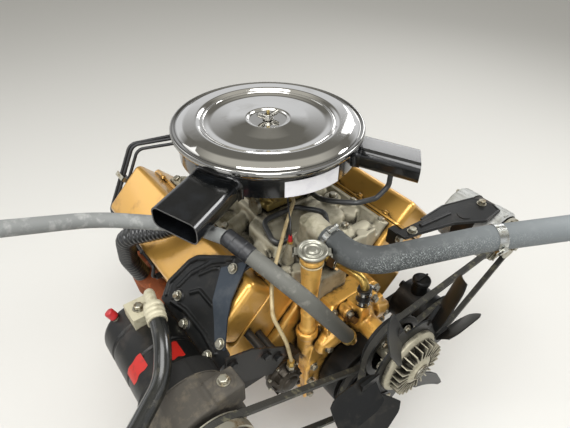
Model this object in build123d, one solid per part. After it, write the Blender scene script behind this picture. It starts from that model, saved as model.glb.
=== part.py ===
from build123d import *
from math import asin, atan2, cos, hypot, pi, radians, sin
import os

os.makedirs("parts", exist_ok=True)

# A dressed pushrod V8 car engine with its air cleaner, belts and accessories.
# Millimetres. +Z is up, the front of the engine looks along -Y, and the
# driver's side is +X. The origin is on the crank axis, at the rear face of the
# block, where the gearbox housing bolts on.

# Fits
SEAT_GAP = 0.3
BELT_GAP = 0.4

# Block and banks
BANK_LEAN = 45.0
BLOCK_LENGTH = 552.0
BORE_SPACING = 117.5
FIRST_BORE_Y = -92.0
DECK_HEIGHT = 237.0
DECK_HALF_WIDTH = 75.0
CRANKCASE_HALF_WIDTH = 152.0
PAN_RAIL_HALF_WIDTH = 140.0
PAN_RAIL_Z = -55.0
CRANKCASE_BEND_Z = 46.0
PASSENGER_BANK_SHIFT = 12.0
SHAFT_RADIUS = 30.0

# Gearbox flange at the rear of the block
FLANGE_THICKNESS = 18.0
FLANGE_RADIUS = 222.0
FLANGE_HALF_WIDTH = 205.0
FLANGE_LOW_Z = -112.0
FLANGE_HIGH_Z = 198.0
HOUSING_BOLT_X = 187.0
HOUSING_BOLT_Z = 86.0
HOUSING_BOLT_RADIUS = 5.2

# Oil pan
PAN_LIP = 5.0
PAN_HALF_WIDTH = 88.0
PAN_FRONT_Y = -520.0
PAN_SUMP_FRONT_Y = -245.0
PAN_REAR_Y = -24.0
PAN_SHALLOW_Z = -135.0
PAN_DEEP_Z = -235.0

# Cylinder heads and valve covers, in the bank's own directions
HEAD_HEIGHT = 92.0
HEAD_LENGTH = 516.0
HEAD_FRONT_Y = -550.0
HEAD_INBOARD = 96.0
HEAD_OUTBOARD = 58.0
EXHAUST_FACE = 92.0
EXHAUST_PORT_RISE = 48.0
COVER_HEIGHT = 65.0
COVER_INBOARD = 88.0
COVER_OUTBOARD = 48.0
COVER_LENGTH = 514.0
COVER_FRONT_Y = -556.0
COVER_RAIL = 8.0
COVER_RAIL_THICKNESS = 5.0
COVER_ROUND = 15.0

# Intake manifold, carburettor and air cleaner
VALLEY_Z = 199.0
MANIFOLD_FRONT_Y = -536.0
MANIFOLD_REAR_Y = -84.0
MANIFOLD_TOP_Z = 285.0
MANIFOLD_EDGE_Z = 297.0
CARB_Y = -290.0
CARB_PAD_Z = 325.0
CARB_HALF_WIDTH = 62.0
CARB_HALF_LENGTH = 82.0
CARB_HORN_RADIUS = 64.0
CLEANER_Y = -290.0
CLEANER_FLOOR_Z = 424.0
CLEANER_RADIUS = 196.0
CLEANER_WALL = 3.0
CLEANER_RIM_Z = 496.6
LID_RADIUS = 210.0
LID_THICKNESS = 2.6
LID_STUD_RADIUS = 4.0
SNORKEL_HEIGHT = 46.0
SNORKEL_TOP_Z = 469.0
SNORKEL_ROUND = 16.0
PASSENGER_SNORKEL_TURN = 62.0
DRIVER_SNORKEL_TURN = -25.0

# Front of the engine
TIMING_COVER_THICKNESS = 48.0
FILLER_X = -105.0
FILLER_Y = -574.0
FILLER_LOW_Z = 160.0
FILLER_CAP_Z = 385.0
PUMP_AXIS_Z = 172.0
PUMP_BODY_RADIUS = 52.0
PUMP_BODY_THICKNESS = 22.0
PUMP_NOSE_RADIUS = 24.0
PUMP_NOSE_FRONT_Y = -690.0

# Belt planes, from the rear one to the front one
STEERING_BELT_Y = -672.0
COMPRESSOR_BELT_Y = -690.0
ALTERNATOR_BELT_Y = -710.0
BELT_WIDTH = 12.0
BELT_DEPTH = 8.0
GROOVE_WALL = 2.5
CRANK_PULLEY_RADIUS = 84.0
PUMP_PULLEY_RADIUS = 74.0
COMPRESSOR_PULLEY_RADIUS = 66.0
ALTERNATOR_PULLEY_RADIUS = 36.0
STEERING_PULLEY_RADIUS = 70.0

# Accessories: the alternator and the compressor hang on the heads, so their
# shafts are placed from the top inner edge of the head, outboard and down
ALTERNATOR_OUT, ALTERNATOR_DROP = 230.0, 65.0
ALTERNATOR_RADIUS = 66.0
COMPRESSOR_OUT, COMPRESSOR_DROP = 232.0, 100.0
COMPRESSOR_RADIUS = 68.0
COMPRESSOR_REAR_Y = -378.0
COMPRESSOR_FRONT_Y = -560.0
COMPRESSOR_RING_RADIUS = 76.0
STEERING_X, STEERING_Z = 232.0, 38.0
FAN_RADIUS = 200.0
FAN_BLADES = 6

# Hoses
RADIATOR_HOSE_RADIUS = 26.0
RADIATOR_HOSE_BORE = 21.0
RADIATOR_HOSE_Z = 370.0
CUFF_BORE = 21.8
CUFF_LENGTH = 40.0
HEATER_HOSE_RADIUS = 16.0
HEATER_HOSE_BORE = 10.0


def write(name, shape):
    solids = shape.solids()
    body = solids[0] if len(solids) == 1 else Compound(children=list(solids))
    export_step(body, f"parts/{name}.step")


def slab(x0, x1, y0, y1, z0, z1):
    return Pos((x0 + x1) / 2, (y0 + y1) / 2, (z0 + z1) / 2) * Box(
        abs(x1 - x0), abs(y1 - y0), abs(z1 - z0)
    )


def rod(start, end, radius):
    direction = Vector(*end) - Vector(*start)
    plane = Plane(origin=start, z_dir=direction)
    return plane * Cylinder(
        radius, direction.length, align=(Align.CENTER, Align.CENTER, Align.MIN)
    )


def along_y(x, z, y0, y1, radius):
    return rod((x, max(y0, y1), z), (x, min(y0, y1), z), radius)


def upright(x, y, z0, z1, radius):
    return rod((x, y, z0), (x, y, z1), radius)


def profile_y(points, rear, front):
    """Extrude an outline of (x, z) points from the rear plane forward."""
    plane = Plane(origin=(0, rear, 0), x_dir=(1, 0, 0), z_dir=(0, -1, 0))
    face = plane * make_face(Polyline(*points, close=True))
    return extrude(face, amount=rear - front, dir=(0, -1, 0))


def turned(points, x=0, z=0):
    """Turn an outline of (radius, y) points about a shaft along Y."""
    face = make_face(Polyline(*points, close=True))
    return Pos(x, 0, z) * revolve(face, Axis.Y, 360)


def upright_turned(points, x=0, y=0):
    """Turn an outline of (radius, z) points about an upright axis."""
    face = Plane.XZ * make_face(Polyline(*points, close=True))
    return Pos(x, y, 0) * revolve(face, Axis.Z, 360)


def hose(points, bends, radius, bore=0.0):
    """Sweep a round section along straight runs joined by tangent arcs."""
    path = FilletPolyline(*points, radius=bends) if len(points) > 2 else Polyline(*points)
    start = Plane(origin=path @ 0, z_dir=path % 0)
    tube = sweep(start * Circle(radius), path)
    if bore:
        tube -= sweep(start * Circle(bore), path)
    return tube


def both_banks(shape):
    """A piece of the driver's bank, and the same for the other bank."""
    driver = Rot(0, BANK_LEAN, 0) * shape
    passenger = Pos(0, PASSENGER_BANK_SHIFT, 0) * mirror(driver, about=Plane.YZ)
    return driver, passenger


def bank_point(height, inboard, y=0.0):
    """Place on the driver's bank: height up the bank, and distance inboard."""
    lean = radians(BANK_LEAN)
    x = height * sin(lean) - inboard * cos(lean)
    z = height * cos(lean) + inboard * sin(lean)
    return (x, y, z)


def passenger_point(height, inboard, y):
    """The same on the passenger's bank, at a given place along the engine."""
    x, _, z = bank_point(height, inboard)
    return (-x, y, z)


def around(circles):
    """Outline of a tight loop around circles given counterclockwise."""
    edges = []
    count = len(circles)
    normals = []
    for i in range(count):
        x0, z0, r0 = circles[i]
        x1, z1, r1 = circles[(i + 1) % count]
        heading = atan2(z1 - z0, x1 - x0)
        tilt = asin((r0 - r1) / hypot(x1 - x0, z1 - z0))
        normals.append(heading - pi / 2 + tilt)
    for i in range(count):
        x, z, r = circles[i]
        came, goes = normals[i - 1], normals[i]
        while goes < came:
            goes += 2 * pi
        middle = (came + goes) / 2
        spots = [(x + r * cos(a), z + r * sin(a)) for a in (came, middle, goes)]
        edges.append(ThreePointArc(*spots))
        x1, z1, r1 = circles[(i + 1) % count]
        edges.append(Line(spots[2], (x1 + r1 * cos(goes), z1 + r1 * sin(goes))))
    return make_face(edges)


def belt(pulleys, y):
    """A closed belt that lies just under the rims of its pulleys."""
    outer = around([(x, z, r - 1.0) for x, z, r in pulleys])
    inner = around([(x, z, r - 1.0 - BELT_DEPTH) for x, z, r in pulleys])
    plane = Plane(
        origin=(0, y + BELT_WIDTH / 2, 0), x_dir=(1, 0, 0), z_dir=(0, -1, 0)
    )
    return extrude(plane * (outer - inner), amount=BELT_WIDTH, dir=(0, -1, 0))


def groove(rim, y):
    """Points of one pulley groove, from its rear lip to its front lip."""
    half = BELT_WIDTH / 2 + BELT_GAP
    root = rim - 1.0 - BELT_DEPTH - BELT_GAP
    return [
        (rim, y + half + GROOVE_WALL),
        (rim, y + half),
        (root, y + half),
        (root, y - half),
        (rim, y - half),
        (rim, y - half - GROOVE_WALL),
    ]


def rim_half():
    return BELT_WIDTH / 2 + BELT_GAP + GROOVE_WALL


BLOCK_FRONT_Y = -BLOCK_LENGTH
TIMING_FRONT_Y = BLOCK_FRONT_Y - TIMING_COVER_THICKNESS
HEAD_TOP = DECK_HEIGHT + HEAD_HEIGHT
COVER_TOP = HEAD_TOP + COVER_HEIGHT
EXHAUST_PORT_HEIGHT = DECK_HEIGHT + EXHAUST_PORT_RISE
HEAD_EDGE_X, _, HEAD_EDGE_Z = bank_point(HEAD_TOP, HEAD_INBOARD)
ALTERNATOR_X = HEAD_EDGE_X + ALTERNATOR_OUT
ALTERNATOR_Z = HEAD_EDGE_Z - ALTERNATOR_DROP
COMPRESSOR_X = -HEAD_EDGE_X - COMPRESSOR_OUT
COMPRESSOR_Z = HEAD_EDGE_Z - COMPRESSOR_DROP
deck_out = bank_point(DECK_HEIGHT, -DECK_HALF_WIDTH)
deck_in = bank_point(DECK_HEIGHT, DECK_HALF_WIDTH)
valley_edge_x = deck_in[0] - (deck_in[2] - VALLEY_Z)

# Cast block: crankcase, two banks and the flange for the gearbox housing.
right_half = [
    (PAN_RAIL_HALF_WIDTH, PAN_RAIL_Z),
    (CRANKCASE_HALF_WIDTH, PAN_RAIL_Z + 12.0),
    (CRANKCASE_HALF_WIDTH, CRANKCASE_BEND_Z),
    (deck_out[0], deck_out[2]),
    (deck_in[0], deck_in[2]),
    (valley_edge_x, VALLEY_Z),
]
outline = right_half + [(-x, z) for x, z in reversed(right_half)]
block = profile_y(outline, 0, BLOCK_FRONT_Y)
flange = along_y(0, 0, 0, -FLANGE_THICKNESS, FLANGE_RADIUS) & slab(
    -FLANGE_HALF_WIDTH,
    FLANGE_HALF_WIDTH,
    -FLANGE_THICKNESS,
    0,
    FLANGE_LOW_Z,
    FLANGE_HIGH_Z,
)
block += flange
for side_x in (-1, 1):
    for side_z in (-1, 1):
        x, z = side_x * HOUSING_BOLT_X, side_z * HOUSING_BOLT_Z
        block -= along_y(x, z, 1, -FLANGE_THICKNESS - 1, HOUSING_BOLT_RADIUS)
block -= along_y(0, 0, 1, BLOCK_FRONT_Y - 1, SHAFT_RADIUS + SEAT_GAP)
write("engine_block", block)

# Pressed oil pan: a flat rail, a shallow front and a deep rear sump.
pan = slab(
    -PAN_RAIL_HALF_WIDTH,
    PAN_RAIL_HALF_WIDTH,
    PAN_FRONT_Y,
    PAN_REAR_Y,
    PAN_RAIL_Z - PAN_LIP,
    PAN_RAIL_Z,
)
shallow = slab(
    -PAN_HALF_WIDTH,
    PAN_HALF_WIDTH,
    PAN_FRONT_Y + 14.0,
    PAN_REAR_Y - 14.0,
    PAN_SHALLOW_Z,
    PAN_RAIL_Z - PAN_LIP,
)
sump = slab(
    -PAN_HALF_WIDTH,
    PAN_HALF_WIDTH,
    PAN_SUMP_FRONT_Y,
    PAN_REAR_Y - 14.0,
    PAN_DEEP_Z,
    PAN_SHALLOW_Z,
)
shallow = shallow + sump
shallow = fillet(shallow.edges().filter_by(Axis.Z), 20.0)
shallow = fillet(shallow.faces().sort_by(Axis.Z)[0].edges(), 16.0)
write("oil_pan", pan + shallow)

# Cylinder heads: a cast wedge on each deck, with a raised exhaust face.
head_outline = [
    (DECK_HALF_WIDTH, DECK_HEIGHT),
    (EXHAUST_FACE, EXHAUST_PORT_HEIGHT - 20.0),
    (EXHAUST_FACE, EXHAUST_PORT_HEIGHT + 20.0),
    (HEAD_OUTBOARD, HEAD_TOP),
    (-HEAD_INBOARD, HEAD_TOP),
    (-HEAD_INBOARD, DECK_HEIGHT + 24.0),
    (-DECK_HALF_WIDTH, DECK_HEIGHT),
]
head = profile_y(head_outline, HEAD_FRONT_Y + HEAD_LENGTH, HEAD_FRONT_Y)
head_driver, head_passenger = both_banks(head)
write("cylinder_head_driver", head_driver)
write("cylinder_head_passenger", head_passenger)

# Stamped valve covers: a rail all round and a box with round shoulders.
cover_mid = (COVER_OUTBOARD - COVER_INBOARD) / 2
cover_width = COVER_INBOARD + COVER_OUTBOARD
cover_mid_y = COVER_FRONT_Y + COVER_LENGTH / 2
dome = Pos(cover_mid, cover_mid_y, HEAD_TOP + COVER_HEIGHT / 2) * Box(
    cover_width, COVER_LENGTH, COVER_HEIGHT
)
dome = fillet(dome.edges().filter_by(Axis.Z), COVER_ROUND)
dome = fillet(dome.faces().sort_by(Axis.Z)[-1].edges(), COVER_ROUND - 1.0)
rail = Pos(cover_mid, cover_mid_y, HEAD_TOP + COVER_RAIL_THICKNESS / 2) * Box(
    cover_width + 2 * COVER_RAIL,
    COVER_LENGTH + 2 * COVER_RAIL - 10.0,
    COVER_RAIL_THICKNESS,
)
rail = fillet(rail.edges().filter_by(Axis.Z), COVER_ROUND)
cover_driver, cover_passenger = both_banks(dome + rail)
write("valve_cover_driver", cover_driver)
write("valve_cover_passenger", cover_passenger)

# Cast intake manifold between the heads, with a carburettor pad, eight
# runners and a water crossover at the front.
intake_face = HEAD_INBOARD / cos(radians(BANK_LEAN))
low_x = VALLEY_Z + 1.0 - intake_face
edge_x = MANIFOLD_EDGE_Z - intake_face
half = [
    (low_x, VALLEY_Z + 1.0),
    (edge_x, MANIFOLD_EDGE_Z),
    (edge_x - 14.0, MANIFOLD_EDGE_Z + 4.0),
    (edge_x - 46.0, MANIFOLD_TOP_Z - 18.0),
]
outline = half + [(-x, z) for x, z in reversed(half)]
manifold = profile_y(outline, MANIFOLD_REAR_Y, MANIFOLD_FRONT_Y)
manifold += slab(
    -CARB_HALF_WIDTH - 8.0,
    CARB_HALF_WIDTH + 8.0,
    CARB_Y - CARB_HALF_LENGTH - 8.0,
    CARB_Y + CARB_HALF_LENGTH + 8.0,
    MANIFOLD_TOP_Z - 40.0,
    CARB_PAD_Z,
)
runner_y = [FIRST_BORE_Y - BORE_SPACING * i for i in range(4)]
for y in runner_y:
    inner_y = CARB_Y + (y - CARB_Y) * 0.42
    for side in (-1, 1):
        y_out = y + (PASSENGER_BANK_SHIFT if side < 0 else 0.0) - 10.0
        manifold += rod(
            (side * 40.0, inner_y, MANIFOLD_TOP_Z - 2.0),
            (side * (edge_x - 26.0), y_out, MANIFOLD_EDGE_Z - 22.0),
            22.0,
        )
crossover_y = MANIFOLD_FRONT_Y + 34.0
manifold += rod(
    (-edge_x + 34.0, crossover_y, MANIFOLD_EDGE_Z - 24.0),
    (edge_x - 34.0, crossover_y, MANIFOLD_EDGE_Z - 24.0),
    24.0,
)
THERMOSTAT_X = -45.0
THERMOSTAT_Y = -500.0
THERMOSTAT_BASE_Z = 322.0
manifold += upright(
    THERMOSTAT_X, THERMOSTAT_Y, MANIFOLD_TOP_Z - 40.0, THERMOSTAT_BASE_Z, 34.0
)
HOSE_NIPPLE = 4.0
hose_nipples = (
    # foot and end of each nipple for a small hose
    ((2.0, -503.0, 285.0), (2.0, -503.0, 314.0)),
    ((-8.1, -375.9, 312.0), (-25.8, -400.2, 312.0)),
)
for foot, end in hose_nipples:
    manifold += rod(foot, end, HOSE_NIPPLE)
COIL_BOSS = (100.0, -141.0)
COIL_BOSS_TOP = MANIFOLD_EDGE_Z + 9.0
manifold += upright(*COIL_BOSS, MANIFOLD_TOP_Z - 15.0, COIL_BOSS_TOP, 10.0)
trim_top = 420.0
between_heads = [
    (low_x, VALLEY_Z + 1.0),
    (trim_top - intake_face, trim_top),
    (intake_face - trim_top, trim_top),
    (-low_x, VALLEY_Z + 1.0),
]
manifold &= profile_y(between_heads, MANIFOLD_REAR_Y, MANIFOLD_FRONT_Y)
write("intake_manifold", manifold)

# Carburettor: throttle plate, float bowl body and a round air horn, with the
# long stud that holds the air cleaner.
carb = slab(
    -CARB_HALF_WIDTH,
    CARB_HALF_WIDTH,
    CARB_Y - CARB_HALF_LENGTH,
    CARB_Y + CARB_HALF_LENGTH,
    CARB_PAD_Z,
    CARB_PAD_Z + 22.0,
)
bowl = slab(
    -CARB_HALF_WIDTH + 6.0,
    CARB_HALF_WIDTH - 6.0,
    CARB_Y - CARB_HALF_LENGTH + 4.0,
    CARB_Y + CARB_HALF_LENGTH - 8.0,
    CARB_PAD_Z + 22.0,
    CARB_PAD_Z + 72.0,
)
carb += fillet(bowl.edges().filter_by(Axis.Z), 14.0)
carb += upright(0, CARB_Y, CARB_PAD_Z + 72.0, CLEANER_FLOOR_Z, CARB_HORN_RADIUS)
stud_top = 524.0
carb += upright(0, CLEANER_Y, CLEANER_FLOOR_Z - 10.0, stud_top, LID_STUD_RADIUS)
carb_front_y = CARB_Y - CARB_HALF_LENGTH
CARB_NIPPLE = (CARB_HALF_WIDTH - 6.0, carb_front_y - 20.0, CARB_PAD_Z + 11.0)
carb += rod(
    (CARB_NIPPLE[0], carb_front_y + 6.0, CARB_NIPPLE[2]), CARB_NIPPLE, HOSE_NIPPLE
)
FUEL_INLET = (-22.0, carb_front_y - 12.0, CARB_PAD_Z + 47.0)
carb += rod((FUEL_INLET[0], carb_front_y + 14.0, FUEL_INLET[2]), FUEL_INLET, 9.0)
write("carburettor", carb)

# Air cleaner base: a pressed steel pan with two open snorkels.
pan_hole = CARB_HORN_RADIUS - 12.0
cleaner = upright_turned(
    [
        (pan_hole, CLEANER_FLOOR_Z),
        (150.0, CLEANER_FLOOR_Z),
        (CLEANER_RADIUS, CLEANER_FLOOR_Z + 10.0),
        (CLEANER_RADIUS, CLEANER_RIM_Z),
        (CLEANER_RADIUS - CLEANER_WALL, CLEANER_RIM_Z),
        (CLEANER_RADIUS - CLEANER_WALL, CLEANER_FLOOR_Z + 10.0 + CLEANER_WALL),
        (150.0, CLEANER_FLOOR_Z + CLEANER_WALL),
        (pan_hole, CLEANER_FLOOR_Z + CLEANER_WALL),
    ],
    0,
    CLEANER_Y,
)
SNORKEL_START = CLEANER_RADIUS - 40.0
under_snorkel_z = SNORKEL_TOP_Z - SNORKEL_HEIGHT - SEAT_GAP
snorkels = (
    # turn, low edge and high edge across, reach of the mouth at each edge
    (PASSENGER_SNORKEL_TURN, -71.0, 36.0, 326.0, 342.0),
    (DRIVER_SNORKEL_TURN, 25.0, 103.0, 335.0, 312.0),
)


def snorkel_box(turn, low, high, reach_low, reach_high, inset, extra):
    """A round-cornered box that runs out from the air cleaner's middle."""
    outline = [
        (low + inset, -SNORKEL_START),
        (high - inset, -SNORKEL_START),
        (high - inset, -reach_high - extra),
        (low + inset, -reach_low - extra),
    ]
    box = extrude(
        make_face(Polyline(*outline, close=True)), amount=SNORKEL_HEIGHT - 2 * inset
    )
    box = fillet(box.edges().filter_by(Axis.Y), SNORKEL_ROUND - inset)
    foot_z = SNORKEL_TOP_Z - SNORKEL_HEIGHT + inset
    return Pos(0, CLEANER_Y, foot_z) * Rot(0, 0, -turn) * box


inside = upright(
    0,
    CLEANER_Y,
    CLEANER_FLOOR_Z + CLEANER_WALL,
    CLEANER_RIM_Z + 30.0,
    CLEANER_RADIUS - CLEANER_WALL,
)
for row in snorkels:
    cleaner += snorkel_box(*row, 0.0, 0.0) - inside
for row in snorkels:
    cleaner -= snorkel_box(*row, CLEANER_WALL, 5.0)
write("air_cleaner_base", cleaner)

# Chromed air cleaner lid: rolled rim, raised ring, shallow dish and a small
# recess for the nut, all from one table of the top's heights.
RIM_TOP_Z = 500.0
lid_top = [
    # share of the lid's radius, height of the top
    (1.000, RIM_TOP_Z - 6.0),
    (0.985, RIM_TOP_Z),
    (0.950, RIM_TOP_Z - 1.5),
    (0.860, RIM_TOP_Z + 6.0),
    (0.740, RIM_TOP_Z + 8.0),
    (0.700, RIM_TOP_Z + 3.0),
    (0.600, RIM_TOP_Z - 1.0),
    (0.250, RIM_TOP_Z + 6.0),
    (0.205, RIM_TOP_Z + 2.0),
]
top = [(share * LID_RADIUS, z) for share, z in lid_top]
top.append((LID_STUD_RADIUS + SEAT_GAP, lid_top[-1][1]))
under = [(r - (0.6 if r > 150 else 0.0), z - LID_THICKNESS) for r, z in top]
under[-1] = (top[-1][0], under[-1][1])
skirt = [
    (LID_RADIUS - 2.4, RIM_TOP_Z - 12.0),
    (LID_RADIUS, RIM_TOP_Z - 12.0),
]
lid = upright_turned(skirt[1:] + top + under[::-1] + skirt[:1], 0, CLEANER_Y)
write("air_cleaner_lid", lid)

# Wing nut on the stud.
nut_z = lid_top[-1][1]
nut = upright(0, CLEANER_Y, nut_z, nut_z + 12.0, 10.0)
for side in (-1, 1):
    nut += rod(
        (side * 5.0, CLEANER_Y, nut_z + 8.0),
        (side * 24.0, CLEANER_Y - side * 6.0, nut_z + 18.0),
        4.0,
    )
nut -= upright(0, CLEANER_Y, nut_z - 1.0, nut_z + 40.0, LID_STUD_RADIUS + SEAT_GAP)
write("wing_nut", nut)

# Timing cover: a cast plate on the front of the block, with the boss that
# holds the oil filler tube.
half = [
    (PAN_RAIL_HALF_WIDTH - 20.0, PAN_RAIL_Z + 4.0),
    (PAN_RAIL_HALF_WIDTH - 16.0, 60.0),
    (112.0, 118.0),
    (80.0, 148.0),
    (62.0, PUMP_AXIS_Z + PUMP_BODY_RADIUS),
]
outline = half + [(-x, z) for x, z in reversed(half)]
timing_cover = profile_y(outline, BLOCK_FRONT_Y, TIMING_FRONT_Y)
timing_cover += upright(FILLER_X, FILLER_Y, 95.0, FILLER_LOW_Z, 21.0)
timing_cover -= along_y(
    0, 0, BLOCK_FRONT_Y + 1, TIMING_FRONT_Y - 1, SHAFT_RADIUS + SEAT_GAP
)
write("timing_cover", timing_cover)

# Oil filler tube and its twist-off cap.
filler = upright_turned(
    [
        (0, FILLER_LOW_Z),
        (14.5, FILLER_LOW_Z),
        (16.0, FILLER_LOW_Z + 80.0),
        (20.5, FILLER_CAP_Z - 50.0),
        (20.5, FILLER_CAP_Z - 24.0),
        (22.5, FILLER_CAP_Z - 22.0),
        (22.5, FILLER_CAP_Z - 18.0),
        (20.5, FILLER_CAP_Z - 16.0),
        (20.5, FILLER_CAP_Z - 12.0),
        (0, FILLER_CAP_Z - 12.0),
    ],
    FILLER_X,
    FILLER_Y,
)
write("oil_filler_tube", filler)
cap = upright_turned(
    [
        (0, FILLER_CAP_Z - 12.0),
        (22.0, FILLER_CAP_Z - 12.0),
        (24.0, FILLER_CAP_Z - 5.0),
        (28.0, FILLER_CAP_Z),
        (27.0, FILLER_CAP_Z + 4.0),
        (23.5, FILLER_CAP_Z + 4.0),
        (20.0, FILLER_CAP_Z + 1.0),
        (10.0, FILLER_CAP_Z + 3.0),
        (0, FILLER_CAP_Z + 3.0),
    ],
    FILLER_X,
    FILLER_Y,
)
for turn in (28.0, 208.0):
    ear = Pos(30.0, 0, FILLER_CAP_Z) * Box(12.0, 12.0, 4.0)
    cap += Pos(FILLER_X, FILLER_Y, 0) * Rot(0, 0, turn) * ear
write("oil_filler_cap", cap)

# Water pump: round body with two feet, bearing nose and hose stubs.
pump_front_y = TIMING_FRONT_Y - PUMP_BODY_THICKNESS
pump = along_y(0, PUMP_AXIS_Z, TIMING_FRONT_Y, pump_front_y, PUMP_BODY_RADIUS)
for side in (-1, 1):
    foot = Vector(side * 84.0, TIMING_FRONT_Y, PUMP_AXIS_Z - 42.0)
    pump += along_y(foot.X, foot.Z, TIMING_FRONT_Y, pump_front_y + 6.0, 24.0)
    pump += slab(
        min(0, foot.X),
        max(0, foot.X),
        pump_front_y + 8.0,
        TIMING_FRONT_Y,
        foot.Z - 18.0,
        PUMP_AXIS_Z + 4.0,
    )
pump += turned(
    [
        (0, pump_front_y),
        (38.0, pump_front_y),
        (PUMP_NOSE_RADIUS, pump_front_y - 24.0),
        (PUMP_NOSE_RADIUS, PUMP_NOSE_FRONT_Y),
        (0, PUMP_NOSE_FRONT_Y),
    ],
    0,
    PUMP_AXIS_Z,
)
HEATER_STUB = (-52.0, -646.0, 165.0)
HEATER_BEND = (-170.0, -628.0, 352.0)
HEATER_RISE = (Vector(*HEATER_BEND) - Vector(*HEATER_STUB)).normalized()
stub_foot = Vector(*HEATER_STUB) - HEATER_RISE * 24.0
stub_end = Vector(*HEATER_STUB) + HEATER_RISE * 22.0
pump += rod(stub_foot, stub_end, HEATER_HOSE_BORE - SEAT_GAP)
pump += rod((-40.0, pump_front_y + 4.0, stub_foot.Z), stub_foot, HEATER_HOSE_BORE)
BYPASS_X, BYPASS_Y = -10.0, -632.0
pump += slab(BYPASS_X - 14.0, BYPASS_X + 14.0, -645.0, -600.0, 180.0, 226.0)
pump += upright(BYPASS_X, BYPASS_Y, 200.0, 250.0, 9.0)
write("water_pump", pump)

# Thermostat housing: a cast elbow whose neck carries the radiator hose.
neck_radius = RADIATOR_HOSE_BORE - SEAT_GAP
NECK_END_Y = -578.0
housing = upright(
    THERMOSTAT_X, THERMOSTAT_Y, THERMOSTAT_BASE_Z, THERMOSTAT_BASE_Z + 10.0, 34.0
)
housing += upright(
    THERMOSTAT_X, THERMOSTAT_Y, THERMOSTAT_BASE_Z, RADIATOR_HOSE_Z + 12.0, 25.0
)
housing += along_y(
    THERMOSTAT_X, RADIATOR_HOSE_Z, THERMOSTAT_Y, NECK_END_Y, neck_radius
)
write("thermostat_housing", housing)

# Upper radiator hose: moulded rubber, open at the radiator's end.
HOSE_START_Y = -548.0
radiator_points = [
    (THERMOSTAT_X, HOSE_START_Y, RADIATOR_HOSE_Z),
    (THERMOSTAT_X, -643.0, RADIATOR_HOSE_Z),
    (188.0, -733.0, RADIATOR_HOSE_Z + 2.0),
    (402.0, -846.0, RADIATOR_HOSE_Z + 10.0),
]
radiator_hose = hose(
    radiator_points, [76.0, 300.0], RADIATOR_HOSE_RADIUS, RADIATOR_HOSE_BORE
)
hose_out = Vector(*radiator_points[-1]) - Vector(*radiator_points[-2])
cuff_start = Vector(*radiator_points[-1]) - hose_out.normalized() * CUFF_LENGTH
radiator_hose -= rod(
    cuff_start, cuff_start + hose_out.normalized() * (CUFF_LENGTH + 5.0), CUFF_BORE
)
write("upper_radiator_hose", radiator_hose)

# Heater hose: from the pump up past the filler tube to a joint, then a
# lighter hose on under the passenger's snorkel.
SPLICE = (-216.0, -493.0, 400.0)
lower_points = [
    HEATER_STUB,
    HEATER_BEND,
    SPLICE,
]
heater_lower = hose(lower_points, [90.0], HEATER_HOSE_RADIUS, HEATER_HOSE_BORE)
write("heater_hose_lower", heater_lower)
splice_way = (Vector(*SPLICE) - Vector(*HEATER_BEND)).normalized()
upper_points = [
    SPLICE,
    Vector(*SPLICE) + splice_way * 16.0,
    (-258.0, -398.0, 403.0),
    (-300.0, -362.0, 405.0),
    (-400.0, -318.0, 434.0),
    (-552.0, -335.0, 497.0),
]
heater_upper = hose(upper_points, [30.0, 60.0, 150.0, 180.0], 14.0, 9.0)
write("heater_hose_upper", heater_upper)

# Bypass: a nut and a plated elbow from the manifold, and a short hose on to
# the pump.
elbow_points = [
    (-30.0, crossover_y - 30.0, 298.0),
    (BYPASS_X, BYPASS_Y, 298.0),
    (BYPASS_X, BYPASS_Y, 256.0),
]
elbow = hose(elbow_points, [24.0], 9.0)
write("bypass_elbow", elbow)
bypass = upright(BYPASS_X, BYPASS_Y, 231.0, 275.0, 14.0)
bypass -= upright(BYPASS_X, BYPASS_Y, 220.0, 280.0, 9.0 + SEAT_GAP)
write("bypass_hose", bypass)

# Fuel pump low on the passenger's side, and the steel line from its outlet up
# past the head to the carburettor's inlet.
FUEL_PUMP_X, FUEL_PUMP_Z = -186.0, 92.0
fuel_pump = along_y(FUEL_PUMP_X, FUEL_PUMP_Z, -578.0, -628.0, 40.0)
fuel_pump += slab(
    FUEL_PUMP_X - 16.0, -PAN_RAIL_HALF_WIDTH + 8.0, -586.0, BLOCK_FRONT_Y, 70.0, 114.0
)
FUEL_OUTLET = (-178.0, -612.0, FUEL_PUMP_Z + 48.0)
fuel_pump += upright(FUEL_OUTLET[0], FUEL_OUTLET[1], FUEL_PUMP_Z + 30.0, FUEL_OUTLET[2], 7.0)
write("fuel_pump", fuel_pump)
fuel_line = hose(
    [
        (FUEL_OUTLET[0], FUEL_OUTLET[1], FUEL_OUTLET[2] + SEAT_GAP),
        (FUEL_OUTLET[0], FUEL_OUTLET[1], FUEL_OUTLET[2] + 18.0),
        (-192.0, -613.0, 226.0),
        (-205.0, -586.0, 284.0),
        (-186.0, -557.0, 318.0),
        (-150.0, -520.0, 332.0),
        (-70.0, -450.0, 350.0),
        (FUEL_INLET[0], -416.0, FUEL_INLET[2]),
        (FUEL_INLET[0], FUEL_INLET[1] - SEAT_GAP, FUEL_INLET[2]),
    ],
    [30.0, 60.0, 40.0, 40.0, 60.0, 50.0, 20.0],
    4.0,
)
write("fuel_line", fuel_line)

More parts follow.
